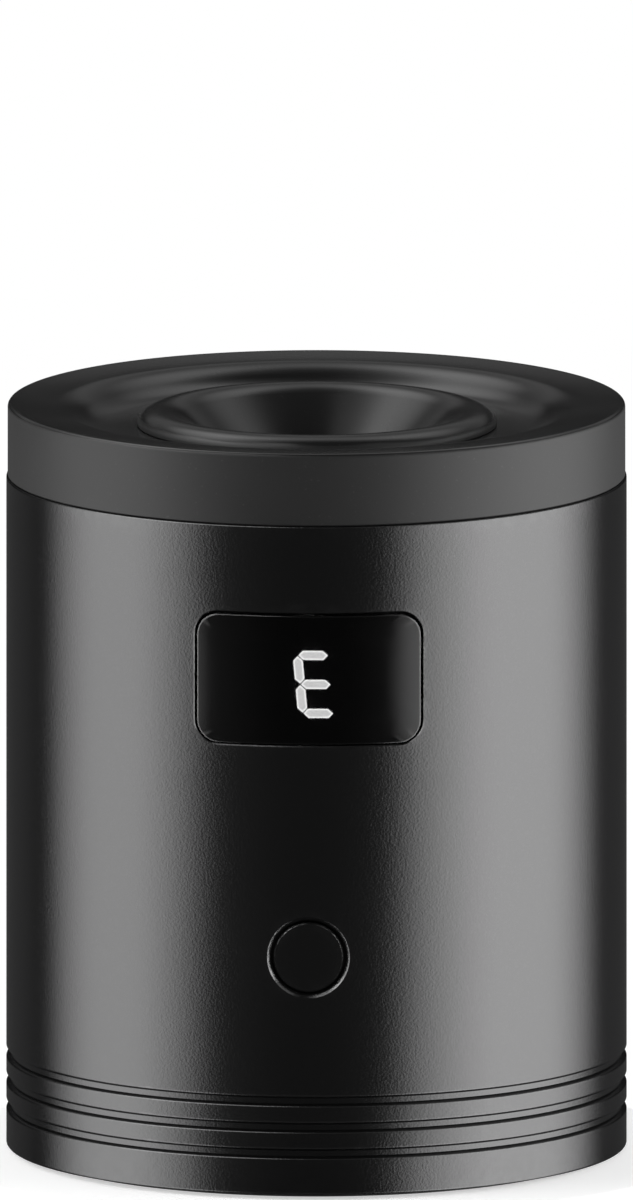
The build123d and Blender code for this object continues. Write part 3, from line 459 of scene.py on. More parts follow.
# ---- finishes ------------------------------------------------------------------------------------
def anodised(name, value):
    """Blasted and dyed metal: fine sparkling grain, paler on worn edges."""
    material, tree, shader, place = new_material(name)
    grain = group_node(tree, blast_grain, place, Scale=3900.0)
    wear = group_node(tree, edge_wear, place, Amount=0.25)
    touch = group_node(tree, handling, place, Cloud_Scale=45.0)
    flecked = tint(tree, grain["Fleck"], shade(value, 0.98), shade(value, 1.04))
    tree.links.new(tint(tree, wear["Mask"], flecked, shade(value, 2.2)), shader.inputs["Base Color"])
    rough = spread(tree, touch["Smudge"], 0.0, 1.0, 0.141, 0.149)
    tree.links.new(rough, shader.inputs["Roughness"])
    shader.inputs["Metallic"].default_value = 0.945
    shader.inputs["Specular Tint"].default_value = (0.5, 0.5, 0.503, 1.0)
    bump(tree, shader, grain["Height"], 0.8, 0.00004)
    return material


def silicone(name, value):
    """Soft-touch silicone with a faint bloom and a little dust: matt sides, satin where it faces up."""
    material, tree, shader, place = new_material(name)
    skin = group_node(tree, moulded_skin, place, Scale=4200.0)
    touch = group_node(tree, handling, place, Cloud_Scale=70.0)
    clouded = tint(tree, touch["Smudge"], shade(value, 0.93), shade(value, 1.07))
    tree.links.new(tint(tree, touch["Dust"], clouded, shade(value, 1.9)), shader.inputs["Base Color"])
    facing = tree.nodes.new("ShaderNodeSeparateXYZ")
    tree.links.new(tree.nodes.new("ShaderNodeNewGeometry").outputs["Normal"], facing.inputs["Vector"])
    gloss = spread(tree, facing.outputs["Z"], 0.4, 0.66, 0.5, SATIN)
    gloss = math(tree, "ADD", gloss, spread(tree, touch["Smudge"], 0.0, 1.0, -0.02, 0.02))
    tree.links.new(gloss, shader.inputs["Roughness"])
    shader.inputs["IOR"].default_value = 1.41
    shader.inputs["Specular IOR Level"].default_value = 0.36
    bump(tree, shader, skin["Height"], 0.25, 0.00001)
    return material


def smoked_acrylic(name, value):
    """Polished see-through lens, dark all through."""
    material, tree, shader, place = new_material(name)
    touch = group_node(tree, handling, place, Cloud_Scale=90.0)
    clouded = tint(tree, touch["Smudge"], shade(value, 0.98), shade(value, 1.02))
    tree.links.new(clouded, shader.inputs["Base Color"])
    tree.links.new(spread(tree, touch["Smudge"], 0.0, 1.0, 0.10, 0.13), shader.inputs["Roughness"])
    shader.inputs["IOR"].default_value = 1.49
    shader.inputs["Transmission Weight"].default_value = 1.0
    return material


def glowing(name, value, strength):
    """Lit light guide: a paler rim, and a core a little brighter in patches."""
    material, tree, shader, place = new_material(name)
    border = tree.nodes.new("ShaderNodeAttribute")
    border.attribute_name = "rim"
    patch = noise(tree, place, 900.0, 2.0)
    core = tint(tree, patch, shade(value, 0.62), shade(value, 0.66))
    lit = tint(tree, border.outputs["Fac"], core, shade(value, 1.0))
    tree.links.new(lit, shader.inputs["Base Color"])
    tree.links.new(lit, shader.inputs["Emission Color"])
    shader.inputs["Emission Strength"].default_value = strength
    shader.inputs["Roughness"].default_value = 0.4
    return material


def moulded(name, value, roughness, scale, relief=0.35):
    """Moulded plastic or rubber with a fine eroded skin."""
    material, tree, shader, place = new_material(name)
    skin = group_node(tree, moulded_skin, place, Scale=scale)
    touch = group_node(tree, handling, place, Cloud_Scale=80.0)
    body = tint(tree, skin["Gloss"], shade(value, 0.88), shade(value, 1.12))
    tree.links.new(tint(tree, touch["Dust"], body, shade(value, 1.7)), shader.inputs["Base Color"])
    gloss = spread(tree, skin["Gloss"], 0.3, 0.7, roughness - 0.06, roughness + 0.06)
    tree.links.new(gloss, shader.inputs["Roughness"])
    bump(tree, shader, skin["Height"], relief, 0.00003)
    return material


def bare_metal(name, value, roughness, stretch):
    """Machined or drawn metal; stretch gives the grain its direction."""
    material, tree, shader, place = new_material(name)
    mapping = tree.nodes.new("ShaderNodeMapping")
    mapping.inputs["Scale"].default_value = stretch
    tree.links.new(place, mapping.inputs["Vector"])
    lines = noise(tree, mapping.outputs["Vector"], 2500.0, 4.0, 0.6)
    touch = group_node(tree, handling, place, Cloud_Scale=120.0)
    tree.links.new(tint(tree, lines, shade(value, 0.85), shade(value, 1.12)), shader.inputs["Base Color"])
    gloss = spread(tree, touch["Smudge"], 0.0, 1.0, roughness - 0.05, roughness + 0.08)
    tree.links.new(gloss, shader.inputs["Roughness"])
    shader.inputs["Metallic"].default_value = 1.0
    bump(tree, shader, lines, 0.2, 0.00002)
    return material


def circuit_laminate(name, value):
    """Solder-masked board: tracks show as a faint relief."""
    material, tree, shader, place = new_material(name)
    tracks = tree.nodes.new("ShaderNodeTexBrick")
    tracks.inputs["Scale"].default_value = 700.0
    tracks.inputs["Mortar Size"].default_value = 0.03
    tree.links.new(place, tracks.inputs["Vector"])
    mask = tint(tree, tracks.outputs["Fac"], shade(value, 1.0), shade(value, 1.7))
    tree.links.new(mask, shader.inputs["Base Color"])
    shader.inputs["Roughness"].default_value = 0.3
    bump(tree, shader, tracks.outputs["Fac"], 0.3, 0.00003)
    return material


FINISHES = {
    "foot_rubber": lambda c: moulded("foot_rubber", c.rubber, 0.7, 2200.0),
    "base_plastic": lambda c: moulded("base_plastic", c.plastic, 0.48, 2600.0),
    "nylon": lambda c: moulded("nylon", (0.62, 0.61, 0.57), 0.45, 1800.0),
    "dome_rubber": lambda c: moulded("dome_rubber", (0.45, 0.45, 0.44), 0.6, 2000.0),
    "bearing_steel": lambda c: bare_metal("bearing_steel", (0.60, 0.60, 0.61), 0.14, (1, 1, 30)),
    "zinc_steel": lambda c: bare_metal("zinc_steel", (0.52, 0.53, 0.54), 0.34, (1, 1, 12)),
    "screw_steel": lambda c: bare_metal("screw_steel", (0.10, 0.10, 0.11), 0.38, (1, 1, 1)),
    "weight_brass": lambda c: bare_metal("weight_brass", (0.70, 0.55, 0.28), 0.28, (1, 1, 25)),
    "terminal_brass": lambda c: bare_metal("terminal_brass", (0.72, 0.58, 0.32), 0.36, (1, 6, 1)),
    "bell_plastic": lambda c: moulded("bell_plastic", (0.80, 0.79, 0.75), 0.5, 2400.0),
    "ferrite": lambda c: moulded("ferrite", (0.09, 0.09, 0.09), 0.75, 1500.0),
    "core_steel": lambda c: bare_metal("core_steel", (0.26, 0.26, 0.27), 0.5, (0.1, 0.1, 12)),
    "coil_copper": lambda c: bare_metal("coil_copper", (0.55, 0.22, 0.09), 0.32, (0.3, 0.3, 14)),
    "bar_copper": lambda c: bare_metal("bar_copper", (0.75, 0.40, 0.24), 0.26, (1, 1, 20)),
    "cell_wrap": lambda c: moulded("cell_wrap", (0.12, 0.30, 0.42), 0.22, 900.0, 0.05),
    "nickel": lambda c: bare_metal("nickel", (0.58, 0.57, 0.54), 0.3, (20, 1, 1)),
    "board_green": lambda c: circuit_laminate("board_green", (0.02, 0.14, 0.06)),
    "chip_epoxy": lambda c: moulded("chip_epoxy", (0.03, 0.03, 0.03), 0.55, 4000.0),
    "segment_dark": lambda c: moulded("segment_dark", (0.006, 0.006, 0.006), 0.5, 4000.0),
    "switch_body": lambda c: moulded("switch_body", (0.03, 0.03, 0.03), 0.5, 3000.0),
    "plunger_plastic": lambda c: moulded("plunger_plastic", (0.50, 0.48, 0.42), 0.45, 3000.0),
    "socket_steel": lambda c: bare_metal("socket_steel", (0.62, 0.62, 0.63), 0.26, (1, 25, 1)),
    "lead_red": lambda c: moulded("lead_red", (0.55, 0.03, 0.02), 0.42, 3000.0, 0.1),
    "lead_black": lambda c: moulded("lead_black", (0.02, 0.02, 0.02), 0.42, 3000.0, 0.1),
}
DIGIT_GLOW = 30.0  # emission strength of the lit bars, which the smoked lens dims
SATIN = 0.19  # roughness of silicone that faces up


# ---- operators -----------------------------------------------------------------------------------
def settings(context):
    """The three property groups of the scene."""
    scene = context.scene
    return scene.shaker_sizes, scene.shaker_colours, scene.shaker_stage


def even(count):
    """Nearest even whole number, at least 2."""
    return 2 * max(1, round(count / 2))


def can_rows(s):
    """Outline of the can as rows, outside going up and inside going down, and where the patches lie."""
    radius, low, high = CAN_HIGH.x, CAN_LOW.z, CAN_HIGH.z
    bore, seat, seat_top = radius - s.wall, 33.9 * MM, low + 2 * MM
    soft, land = 0.09 * MM, 0.25 * MM  # broken groove edge, and the flat beside it that keeps shading even
    crown = 0.2 * MM  # rounding under the band
    outside = [(seat, low)]
    outside += arc((radius - s.edge, low + s.edge), s.edge, -90, 0, 4)
    for n in range(3):
        middle = s.groove_height + n * s.groove_pitch
        half, floor = s.groove_width / 2, s.groove_floor / 2
        slope = (half - floor) / s.groove_depth
        outside += [
            (radius, middle - half - land), (radius, middle - half - soft),
            (radius - 0.2 * soft, middle - half - 0.3 * soft),
            (radius - soft, middle - half + soft * slope + 0.2 * soft),
            (radius - s.groove_depth, middle - floor), (radius - s.groove_depth, middle + floor),
            (radius - soft, middle + half - soft * slope - 0.2 * soft),
            (radius - 0.2 * soft, middle + half + 0.3 * soft), (radius, middle + half + soft),
            (radius, middle + half + land),
        ]
    patches = [(SOCKET_MIDDLE, 3.2 * MM), (BUTTON_MIDDLE, 6.4 * MM), (LENS_MIDDLE + s.lens_rest, 11.5 * MM)]
    rows, spans = [], []
    level_z = outside[-1][1]
    for middle, half in patches:
        gap = middle - half - level_z
        coarse = max(1, round(gap / (3 * MM)))
        rows += [level_z + gap * n / coarse for n in range(1, coarse)]
        count = even(2 * half / (0.95 * MM))
        spans.append((len(rows), len(rows) + count))
        rows += [middle - half + 2 * half * n / count for n in range(count)]
        level_z = middle + half
    rows.append(level_z)
    rest = high - crown - level_z
    rows += [level_z + rest * n / 3 for n in (1, 2)]
    start = len(outside)
    outside += [(radius, z) for z in rows]
    outside += arc((radius - crown, high - crown), crown, 0, 90, 3)
    inside = [(bore, high)] + [(bore, z) for z in reversed(rows)] + [(bore, seat_top), (seat, seat_top)]
    outer_spans = [(start + a, start + b) for a, b in spans]
    first = len(outside) + 1
    last = len(rows) - 1
    inner_spans = [(first + last - a, first + last - b) for a, b in spans]
    return outside + inside, outer_spans, inner_spans


SOCKET_MIDDLE = (SOCKET_LOW.z + SOCKET_HIGH.z) / 2
BUTTON_MIDDLE = (BUTTON_LOW.z + BUTTON_HIGH.z) / 2
LENS_MIDDLE = (LENS_LOW.z + LENS_HIGH.z) / 2
PATCH_COLUMNS = {"socket": 8, "button": 9, "window": 19}  # half the facets that each opening takes


def build_can(s):
    """Turned can with its window, button hole and socket slot in one clean mesh."""
    bm = bmesh.new()
    outline, outer_spans, inner_spans = can_rows(s)
    grid = [[bm.verts.new(around(2 * pi * n / COLUMNS, r, z)) for n in range(COLUMNS)] for r, z in outline]
    slot_w, slot_h = SOCKET_HIGH.x - SOCKET_LOW.x, SOCKET_HIGH.z - SOCKET_LOW.z
    slot_w, slot_h = slot_w + 2 * s.socket_gap, slot_h + 2 * s.socket_gap
    openings = [
        ("socket", BACK, SOCKET_MIDDLE, slot_w, slot_h, slot_h / 2, 0.15 * MM),
        ("button", FRONT, BUTTON_MIDDLE, 2 * s.button_hole, 2 * s.button_hole, s.button_hole,
         s.button_chamfer),
        ("window", FRONT, LENS_MIDDLE + s.lens_rest, s.window_width, s.window_height, s.window_corner,
         0.12 * MM),
    ]
    rings, ease = 5, 1.3  # rings from the facets to the opening, which crowd together towards it
    skipped = set()
    for n, (label, bearing, middle, width, height, corner, chamfer) in enumerate(openings):
        half = PATCH_COLUMNS[label]
        centre = round(bearing / (2 * pi) * COLUMNS)
        loops = []
        for low, high in (outer_spans[n], inner_spans[n]):
            radius = outline[low][0]
            outer = radius > CAN_HIGH.x - 0.1 * MM
            step = 1 if high > low else -1
            up = abs(high - low)
            grow = chamfer if outer else 0.0
            loop = rounded_loop(width + 2 * grow, height + 2 * grow, corner + grow, 2 * half, up)
            border = [(centre + i, low) for i in range(-half, half)]
            border += [(centre + half, low + step * j) for j in range(up)]
            border += [(centre + i, high) for i in range(half, -half, -1)]
            border += [(centre - half, high - step * j) for j in range(up)]
            edge = [grid[j][i % COLUMNS] for i, j in border]
            flat = [(2 * pi * i / COLUMNS, outline[j][1]) for i, j in border]
            ring = edge
            for k in range(1, rings + 1):
                t = 1 - (1 - k / rings) ** ease
                mixed = []
                for (angle, z), (x, dz) in zip(flat, loop):
                    target = bearing + asin(x / radius)
                    mixed.append(around(angle + (target - angle) * t, radius, z + (middle + dz - z) * t))
                inner = [bm.verts.new(p) for p in mixed]
                bridge(bm, ring, inner)
                ring = inner
            if outer:
                throat = rounded_loop(width, height, corner, 2 * half, up)
                inner = wrapped(bm, throat, radius - chamfer, middle, bearing)
                bridge(bm, ring, inner)
                ring = inner
            loops.append(ring)
            for j in range(min(low, high), max(low, high)):
                for i in range(centre - half, centre + half):
                    skipped.add((j, i % COLUMNS))
        bridge(bm, loops[0], loops[1])
    for j in range(len(outline)):
        for i in range(COLUMNS):
            if (j, i) not in skipped:
                k, m = (j + 1) % len(outline), (i + 1) % COLUMNS
                bm.faces.new((grid[j][i], grid[j][m], grid[k][m], grid[k][i]))
    loose = [v for v in bm.verts if not v.link_faces]
    bmesh.ops.delete(bm, geom=loose, context="VERTS")
    return bm


class SHAKER_OT_can(bpy.types.Operator):
    """Build the anodised can"""

    bl_idname = "shaker.can"
    bl_label = "Can"

    def execute(self, context):
        s, c, _ = settings(context)
        metal = anodised("anodised_can", c.anodised)
        piece("can_shell", build_can(s), "housing", metal, "outer_sleeve")
        return {"FINISHED"}


class SHAKER_OT_lens(bpy.types.Operator):
    """Build the smoked lens"""

    bl_idname = "shaker.lens"
    bl_label = "Lens"

    def execute(self, context):
        s, c, _ = settings(context)
        across, up, edge_steps = 28, 18, 5
        face = -LENS_LOW.y
        gap, rounding = s.lens_gap, 0.3 * MM
        width, height, corner = s.window_width - 2 * gap, s.window_height - 2 * gap, s.window_corner - gap
        flange_w, flange_h = LENS_HIGH.x - LENS_LOW.x, LENS_HIGH.z - LENS_LOW.z
        edge = []
        for n in range(edge_steps + 1):
            turn = radians(90 * n / edge_steps)
            inset, drop = rounding * (1 - sin(turn)), rounding * (1 - cos(turn))
            loop = rounded_loop(width - 2 * inset, height - 2 * inset, corner - inset, across, up)
            edge.append((loop, face - drop))
        pane, face_loop = edge[-1][0], edge[0][0]
        flange = rounded_loop(flange_w, flange_h, s.window_corner, across, up)
        bm = bmesh.new()
        stations = edge + [(pane, BORE_STEP), (flange, BORE_STEP), (flange, FLANGE_BACK)]
        rings = [wrapped(bm, loop, radius, LENS_MIDDLE) for loop, radius in stations]
        for a, b in zip(rings, rings[1:]):
            bridge(bm, a, b)
        filled(bm, rings[0], face_loop, face, LENS_MIDDLE, across, up)
        filled(bm, rings[-1], flange, FLANGE_BACK, LENS_MIDDLE, across, up)
        acrylic = smoked_acrylic("smoked_lens", c.lens)
        piece("lens", bm, "housing", acrylic, "display_lens")
        return {"FINISHED"}


class SHAKER_OT_digit(bpy.types.Operator):
    """Light the digit behind the lens"""

    bl_idname = "shaker.digit"
    bl_label = "Digit"

    def execute(self, context):
        _, c, _ = settings(context)
        bm = node_mesh("lit_segments")
        faces = [face for face in bm.faces if face.normal.y < -0.9]
        rim = bm.verts.layers.float.new("rim")
        for vert in bm.verts:
            vert[rim] = 1.0
        pale, fade = 0.14 * MM, 0.05 * MM  # width of the pale rim, and of its fade to the core
        for inset, share in ((pale, 1.0), (fade, 0.0)):
            bmesh.ops.inset_individual(bm, faces=faces, thickness=inset, use_even_offset=True)
            for vert in {v for face in faces for v in face.verts}:
                vert[rim] = share
        lit = glowing("segment_lit", c.light, DIGIT_GLOW)
        piece("digit_bars", bm, "housing", lit, "lit_segments")
        return {"FINISHED"}


class SHAKER_OT_button(bpy.types.Operator):
    """Build the push button"""

    bl_idname = "shaker.button"
    bl_label = "Button"

    def execute(self, context):
        s, c, _ = settings(context)
        face, chamfer, flange_front = -BUTTON_LOW.y, 0.2 * MM, 32.7 * MM
        across = up = 18
        r, flange_r, stem_r = s.button_radius, (BUTTON_HIGH.x - BUTTON_LOW.x) / 2, 1.2 * MM

        def circle(radius):
            return rounded_loop(2 * radius, 2 * radius, radius, across, up)

        bm = bmesh.new()
        rings = [wrapped(bm, circle(r - chamfer), face, BUTTON_MIDDLE)]
        rings.append(wrapped(bm, circle(r), face - chamfer, BUTTON_MIDDLE))
        steps = [(r, -flange_front), (flange_r, -flange_front), (flange_r, -FLANGE_BACK)]
        steps += [(stem_r, -FLANGE_BACK), (stem_r, BUTTON_HIGH.y)]
        for radius, y in steps:
            rings.append([bm.verts.new((x, y, BUTTON_MIDDLE + z)) for x, z in circle(radius)])
        for a, b in zip(rings, rings[1:]):
            bridge(bm, a, b)
        bm.faces.new(rings[-1])
        edge, ring = r - chamfer, rings[0]
        for share in (0.8, 0.6, 0.4, 0.2):
            inner = wrapped(bm, circle(edge * share), face, BUTTON_MIDDLE)
            bridge(bm, ring, inner)
            ring = inner
        tip = bm.verts.new((0, -face, BUTTON_MIDDLE))
        for n in range(len(ring)):
            bm.faces.new((ring[n], ring[(n + 1) % len(ring)], tip))
        metal = anodised("anodised_button", c.anodised)
        piece("button_face", bm, "button", metal, "button_cap")
        return {"FINISHED"}


class SHAKER_OT_button_spring(bpy.types.Operator):
    """Build the rubber spring that the button squeezes"""

    bl_idname = "shaker.button_spring"
    bl_label = "Button Spring"

    def execute(self, context):
        rubber = frame["nodes"]["button_dome"].material_slots[0].material
        ring = node_mesh("button_dome")
        spring = piece("dome_spring", ring, "housing", rubber, "button_dome")
        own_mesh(spring)
        return {"FINISHED"}


def cover_outline(s):
    """Outline of the soft top: band, rounded rim, valley wall and flat valley floor."""
    top, low, radius = COVER_HIGH.z, COVER_LOW.z, COVER_HIGH.x
    floor_z, dish = top - s.valley_depth, top - s.rim_dish
    middle = ((s.rim_radius + s.valley_radius) / 2, (floor_z + dish) / 2)
    half = (middle[0] - s.valley_radius, middle[1] - floor_z)
    reach = (half[0] ** 2 + half[1] ** 2) / (2 * half[0])
    lower = tangent_arc((s.valley_radius, floor_z), (s.valley_radius + reach, floor_z), middle, 14)
    upper = tangent_arc(middle, (s.rim_radius - reach, dish), (s.rim_radius, dish), 14)
    hole, core, seat, seat_z = 18.6 * MM, 27.2 * MM, 33.0 * MM, low + 0.9 * MM
    under_z, rim_steps, foot = floor_z - 1.6 * MM, 6, 0.2 * MM
    outline = [(hole, floor_z), ((hole + s.valley_radius) / 2, floor_z)] + lower + upper[1:]
    rim_width = radius - s.rim_round - s.rim_radius
    for n in range(1, rim_steps):
        share = n / rim_steps
        outline.append((s.rim_radius + rim_width * share, dish + s.rim_dish * share**1.3))
    outline += arc((radius - s.rim_round, top - s.rim_round), s.rim_round, 90, 0, 8)
    outline += [(radius, top - 3 * MM), (radius, top - 6 * MM)]
    outline += [(radius, low + foot), (radius - foot, low), (seat, low), (seat, seat_z)]
    outline += [(core, seat_z), (core, under_z), (hole, under_z)]
    return outline


def cup_outline(s):
    """Outline of the cup about the crank pin: funnel, rounded lip, skirt over the valley, neck."""
    floor_z, lip_z = s.cup_floor_height, CUP_HIGH.z
    skirt, under = (CUP_HIGH.x - CUP_LOW.x) / 2, COVER_HIGH.z - s.valley_depth + 0.08 * MM
    lip = 0.8 * MM
    slope = atan((lip_z - floor_z) / (s.lip_radius - lip - s.cup_floor))
    start = (s.cup_floor + 0.6 * MM, floor_z + 0.55 * MM)
    crest = (s.lip_radius + 0.6 * MM, lip_z)
    leg = (crest[0] - start[0]) - (crest[1] - start[1]) / tan(slope)
    corner = (crest[0] - leg, lip_z)
    back = (corner[0] - leg * cos(slope), lip_z - leg * sin(slope))
    outline = [(0.0, floor_z), (2.0 * MM, floor_z), (4.0 * MM, floor_z)]
    outline += tangent_arc((s.cup_floor - 0.75 * MM, floor_z), (s.cup_floor, floor_z), start, 8)
    for share in (0.25, 0.5, 0.75):
        outline.append((start[0] + (back[0] - start[0]) * share, start[1] + (back[1] - start[1]) * share))
    outline += tangent_arc(back, corner, crest, 10)
    tail = (skirt, under + 0.3 * MM)
    outline += tangent_arc(crest, (crest[0] + 2.2 * MM, lip_z), tail, 12)[1:]
    step_r, neck_r, bore_r = 16.6 * MM, 12.8 * MM, 10.4 * MM
    neck_top, bore_top = 76.2 * MM, 72.2 * MM
    outline += [(skirt, under), (step_r, under), (step_r, under - 1.0 * MM), (neck_r, neck_top)]
    outline += [(neck_r, CUP_LOW.z), (bore_r, CUP_LOW.z), (bore_r, bore_top), (0.0, bore_top)]
    return outline


class SHAKER_OT_soft_top(bpy.types.Operator):
    """Build the silicone top and the cup"""

    bl_idname = "shaker.soft_top"
    bl_label = "Soft top and cup"

    def execute(self, context):
        s, c, _ = settings(context)
        soft = silicone("soft_top", c.silicone)
        bm = bmesh.new()
        lathe(bm, cover_outline(s))
        piece("soft_rim", bm, "housing", soft, "top_cover")
        bm = bmesh.new()
        centre = ((CUP_LOW.x + CUP_HIGH.x) / 2, (CUP_LOW.y + CUP_HIGH.y) / 2)
        lathe(bm, cup_outline(s), centre, closed=False)
        piece("soft_cup", bm, "cup", soft, "bottle_cup")
        dress("splash_seal", soft)
        return {"FINISHED"}


def dress(node, material):
    """Gives a CAD node that stays a finish of its own."""
    obj = frame["nodes"][node]
    if not obj.material_slots:
        obj.data.materials.append(material)
    for n in range(len(obj.material_slots)):
        obj.material_slots[n].material = material


class SHAKER_OT_inner_parts(bpy.types.Operator):
    """Give every remaining part its finish"""

    bl_idname = "shaker.inner_parts"
    bl_label = "Base and inner parts"

    def execute(self, context):
        _, c, _ = settings(context)
        made = {}
        for entry in frame["record"]["subparts"]:
            slot_name = entry["material_slot"]
            if slot_name not in FINISHES:
                continue
            if slot_name not in made:
                made[slot_name] = FINISHES[slot_name](c)
            dress(entry["node"], made[slot_name])
        return {"FINISHED"}


# ---- stage ---------------------------------------------------------------------------------------
LAMP_DISTANCE = 0.5


def softbox(name, bearing, watts, width, height, middle, near, far):
    """Upright area lamp that faces the can's axis and fades over the near and far shares of its width."""
    data = bpy.data.lights.new(name, "AREA")
    data.shape = "RECTANGLE"
    data.size, data.size_y = width, height
    data.energy = watts
    data.use_nodes = True
    tree = data.node_tree
    across = tree.nodes.new("ShaderNodeSeparateXYZ")
    tree.links.new(tree.nodes.new("ShaderNodeNewGeometry").outputs["Parametric"], across.inputs["Vector"])
    rise = spread(tree, across.outputs["X"], 0.0, near)
    fall = spread(tree, across.outputs["X"], 1.0, 1.0 - far)
    tree.links.new(math(tree, "MINIMUM", rise, fall), tree.nodes["Emission"].inputs["Strength"])
    lamp = bpy.data.objects.new(name, data)
    bpy.context.scene.collection.objects.link(lamp)
    lamp.location = around(bearing, LAMP_DISTANCE, middle)
    aim = Vector((0, 0, middle)) - lamp.location
    lamp.rotation_euler = aim.to_track_quat("-Z", "Y").to_euler()
    lamp.visible_camera = False


def hill(tree, value, rise, fall):
    """The lower of two ramps, each given as (from, to, level at from, level at to)."""
    return math(tree, "MINIMUM", spread(tree, value, *rise), spread(tree, value, *fall))


def mirrored_room(tree, x, y, z):
    """Brightness that glossy surfaces see in a direction, given as the parts of its unit vector.

    +Y points away from the camera and +Z up. The room has a pale wall behind the can and a dim one in front
    of it, a bright ceiling over the back that is dimmer in the middle, and white cards above the front, of
    which the left one is the brighter.
    """
    backdrop = spread(tree, y, 0.990, 0.999, 0.0, 0.5)
    wall = hill(tree, y, (0.45, 0.70, 0.0, 0.24), (0.80, 0.97, 0.24, 0.08))
    below = spread(tree, z, -0.04, -0.14)
    wall = math(tree, "MULTIPLY", math(tree, "MAXIMUM", wall, backdrop), below)
    front = hill(tree, y, (0.0, -0.5, 0.02, 0.14), (-0.78, -0.97, 0.14, 0.04))

    ceiling = hill(tree, z, (0.50, 0.82, 0.0, 3.0), (0.86, 0.95, 3.0, 1.2))
    ceiling = math(tree, "MULTIPLY", ceiling, spread(tree, x, -0.3, 0.3, 1.1, 0.65))
    middle = spread(tree, math(tree, "ABSOLUTE", x), 0.05, 0.28, 0.4, 1.0)
    ceiling = math(tree, "MULTIPLY", ceiling, middle)
    haze = spread(tree, z, 0.22, 0.34, 0.0, 0.28)
    ceiling = math(tree, "MAXIMUM", haze, ceiling)
    reach = math(tree, "ADD", y, spread(tree, x, -0.1, -0.3, 0.0, 0.25))
    ceiling = math(tree, "MULTIPLY", ceiling, spread(tree, reach, 0.0, 0.4))

    cards = hill(tree, y, (-0.02, -0.15, 0.0, 2.5), (-0.60, -0.78, 2.5, 0.0))
    left, right = spread(tree, x, -0.10, -0.24), spread(tree, x, 0.25, 0.45, 0.0, 0.35)
    cards = math(tree, "MULTIPLY", cards, math(tree, "MAXIMUM", left, right))
    cards = math(tree, "MULTIPLY", cards, spread(tree, z, 0.30, 0.50))

    overhead = math(tree, "MAXIMUM", ceiling, cards)
    return math(tree, "MAXIMUM", math(tree, "MAXIMUM", wall, front), overhead)


def studio_world(ambient):
    """White to the camera, a room to glossy surfaces, and dim to matt ones."""
    world = bpy.data.worlds.new("studio")
    bpy.context.scene.world = world
    world.use_nodes = True
    tree = world.node_tree
    background = tree.nodes["Background"]
    background.inputs["Color"].default_value = (1.0, 1.0, 1.0, 1.0)
    ray = tree.nodes.new("ShaderNodeLightPath").outputs
    place = tree.nodes.new("ShaderNodeTexCoord").outputs["Generated"]
    split = tree.nodes.new("ShaderNodeSeparateXYZ")
    tree.links.new(place, split.inputs["Vector"])
    room = mirrored_room(tree, *split.outputs)
    mirrored = math(tree, "MAXIMUM", ray["Is Glossy Ray"], ray["Is Transmission Ray"])
    mirrored = math(tree, "MULTIPLY", mirrored, room)
    dim = math(tree, "MULTIPLY", ray["Is Diffuse Ray"], ambient)
    seen = math(tree, "MAXIMUM", mirrored, dim)
    tree.links.new(math(tree, "MAXIMUM", ray["Is Camera Ray"], seen), background.inputs["Strength"])


def table(radius):
    """Round pale table that keeps the can's shadow."""
    bm = bmesh.new()
    edge, thickness = 1 * MM, 4 * MM
    outline = [(0.0, 0.0), (radius * 0.5, 0.0), (radius - edge, 0.0)]
    outline += arc((radius - edge, -edge), edge, 90, 0, 4)
    outline += [(radius, -thickness), (0.0, -thickness)]
    lathe(bm, outline, closed=False)
    bmesh.ops.recalc_face_normals(bm, faces=bm.faces)
    mesh = bpy.data.meshes.new("table")
    bm.to_mesh(mesh)
    bm.free()
    obj = bpy.data.objects.new("table", mesh)
    bpy.context.scene.collection.objects.link(obj)
    material, tree, shader, place = new_material("pale_table")
    fine = noise(tree, place, 300.0, 3.0)
    pale = tint(tree, fine, (0.84, 0.84, 0.84, 1.0), (0.86, 0.86, 0.86, 1.0))
    tree.links.new(pale, shader.inputs["Base Color"])
    shader.inputs["Roughness"].default_value = 0.6
    ray = tree.nodes.new("ShaderNodeLightPath").outputs
    seen = math(tree, "MAXIMUM", ray["Is Glossy Ray"], ray["Is Transmission Ray"])
    seen = math(tree, "MAXIMUM", ray["Is Camera Ray"], seen)
    shader.inputs["Emission Color"].default_value = (1.0, 1.0, 1.0, 1.0)
    tree.links.new(math(tree, "MULTIPLY", seen, 0.5), shader.inputs["Emission Strength"])
    mesh.materials.append(material)
    obj.visible_glossy = False


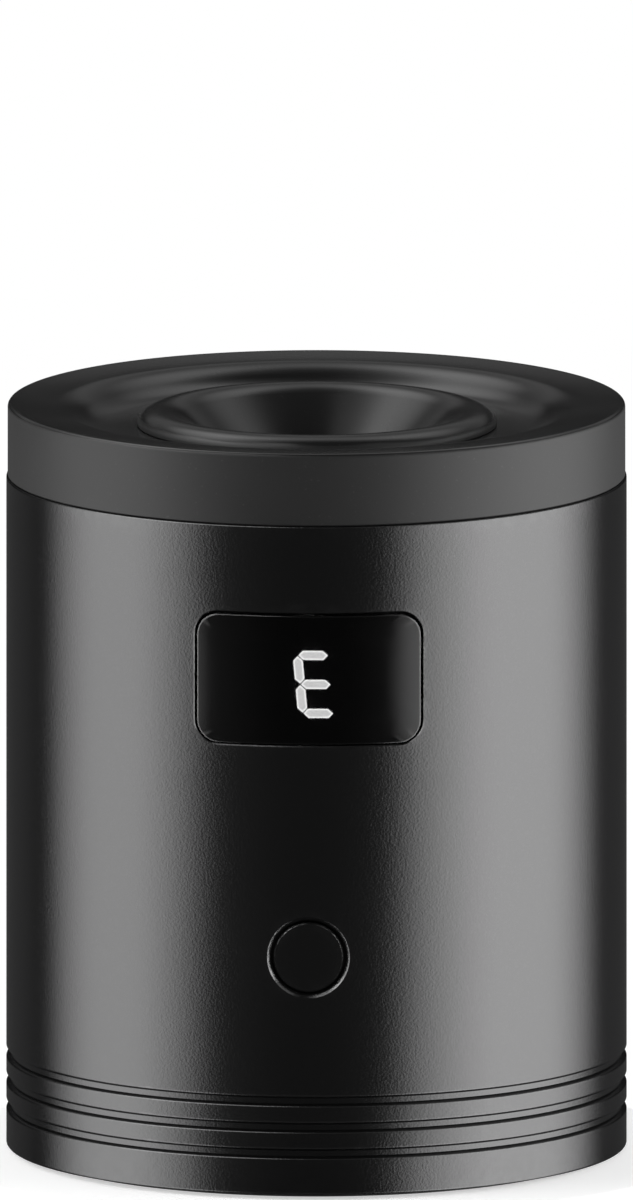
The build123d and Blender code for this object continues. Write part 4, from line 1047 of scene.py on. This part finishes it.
class SHAKER_OT_stage(bpy.types.Operator):
    """Set up the camera, the lamps and the background"""

    bl_idname = "shaker.stage"
    bl_label = "Stage"

    def execute(self, context):
        _, _, st = settings(context)
        data = bpy.data.cameras.new("camera")
        data.type = "ORTHO"
        data.ortho_scale = st.frame_height
        camera = bpy.data.objects.new("camera", data)
        context.scene.collection.objects.link(camera)
        away = Vector(around(st.azimuth, cos(st.elevation), sin(st.elevation)))
        camera.location = Vector((0, 0, st.aim_height)) + away
        camera.rotation_euler = (-away).to_track_quat("-Z", "Y").to_euler()
        data.clip_start, data.clip_end = 0.01, 10.0
        context.scene.camera = camera
        context.scene.view_settings.view_transform = "Standard"
        softbox("left_softbox", radians(-77), st.left_light, 0.81, 1.7, -0.25, 0.35, 0.37)
        softbox("right_softbox", radians(78.5), st.right_light, 1.17, 1.4, -0.4, 0.41, 0.34)
        studio_world(st.ambient)
        table(st.table_radius)
        return {"FINISHED"}


class SHAKER_PT_panel(bpy.types.Panel):
    """Lists the shaker's steps in the sidebar"""

    bl_idname = "SHAKER_PT_panel"
    bl_label = "Bottle Shaker"
    bl_space_type = "VIEW_3D"
    bl_region_type = "UI"
    bl_category = "Shaker"

    def draw(self, context):
        layout = self.layout
        for group in settings(context):
            box = layout.box()
            for key in group.__annotations__:
                box.prop(group, key)
        for operator in STEPS:
            layout.operator(operator.bl_idname)


STEPS = (
    SHAKER_OT_stage, SHAKER_OT_can, SHAKER_OT_lens, SHAKER_OT_digit, SHAKER_OT_button,
    SHAKER_OT_soft_top, SHAKER_OT_inner_parts, SHAKER_OT_button_spring,
)
GROUPS = {"shaker_sizes": ShakerSizes, "shaker_colours": ShakerColours, "shaker_stage": ShakerStage}


def register():
    """Adds the classes, and the property groups to the scene."""
    for cls in (*GROUPS.values(), *STEPS, SHAKER_PT_panel):
        bpy.utils.register_class(cls)
    for name, cls in GROUPS.items():
        setattr(bpy.types.Scene, name, bpy.props.PointerProperty(type=cls))


def unregister():
    """Takes away what register added."""
    for name in GROUPS:
        delattr(bpy.types.Scene, name)
    for cls in (SHAKER_PT_panel, *reversed(STEPS), *GROUPS.values()):
        bpy.utils.unregister_class(cls)


def main():
    register()
    bpy.ops.shaker.stage()
    bpy.ops.shaker.can()
    bpy.ops.shaker.lens()
    bpy.ops.shaker.digit()
    bpy.ops.shaker.button()
    bpy.ops.shaker.soft_top()
    bpy.ops.shaker.inner_parts()
    bpy.ops.shaker.button_spring()


if __name__ == "__main__":
    main()
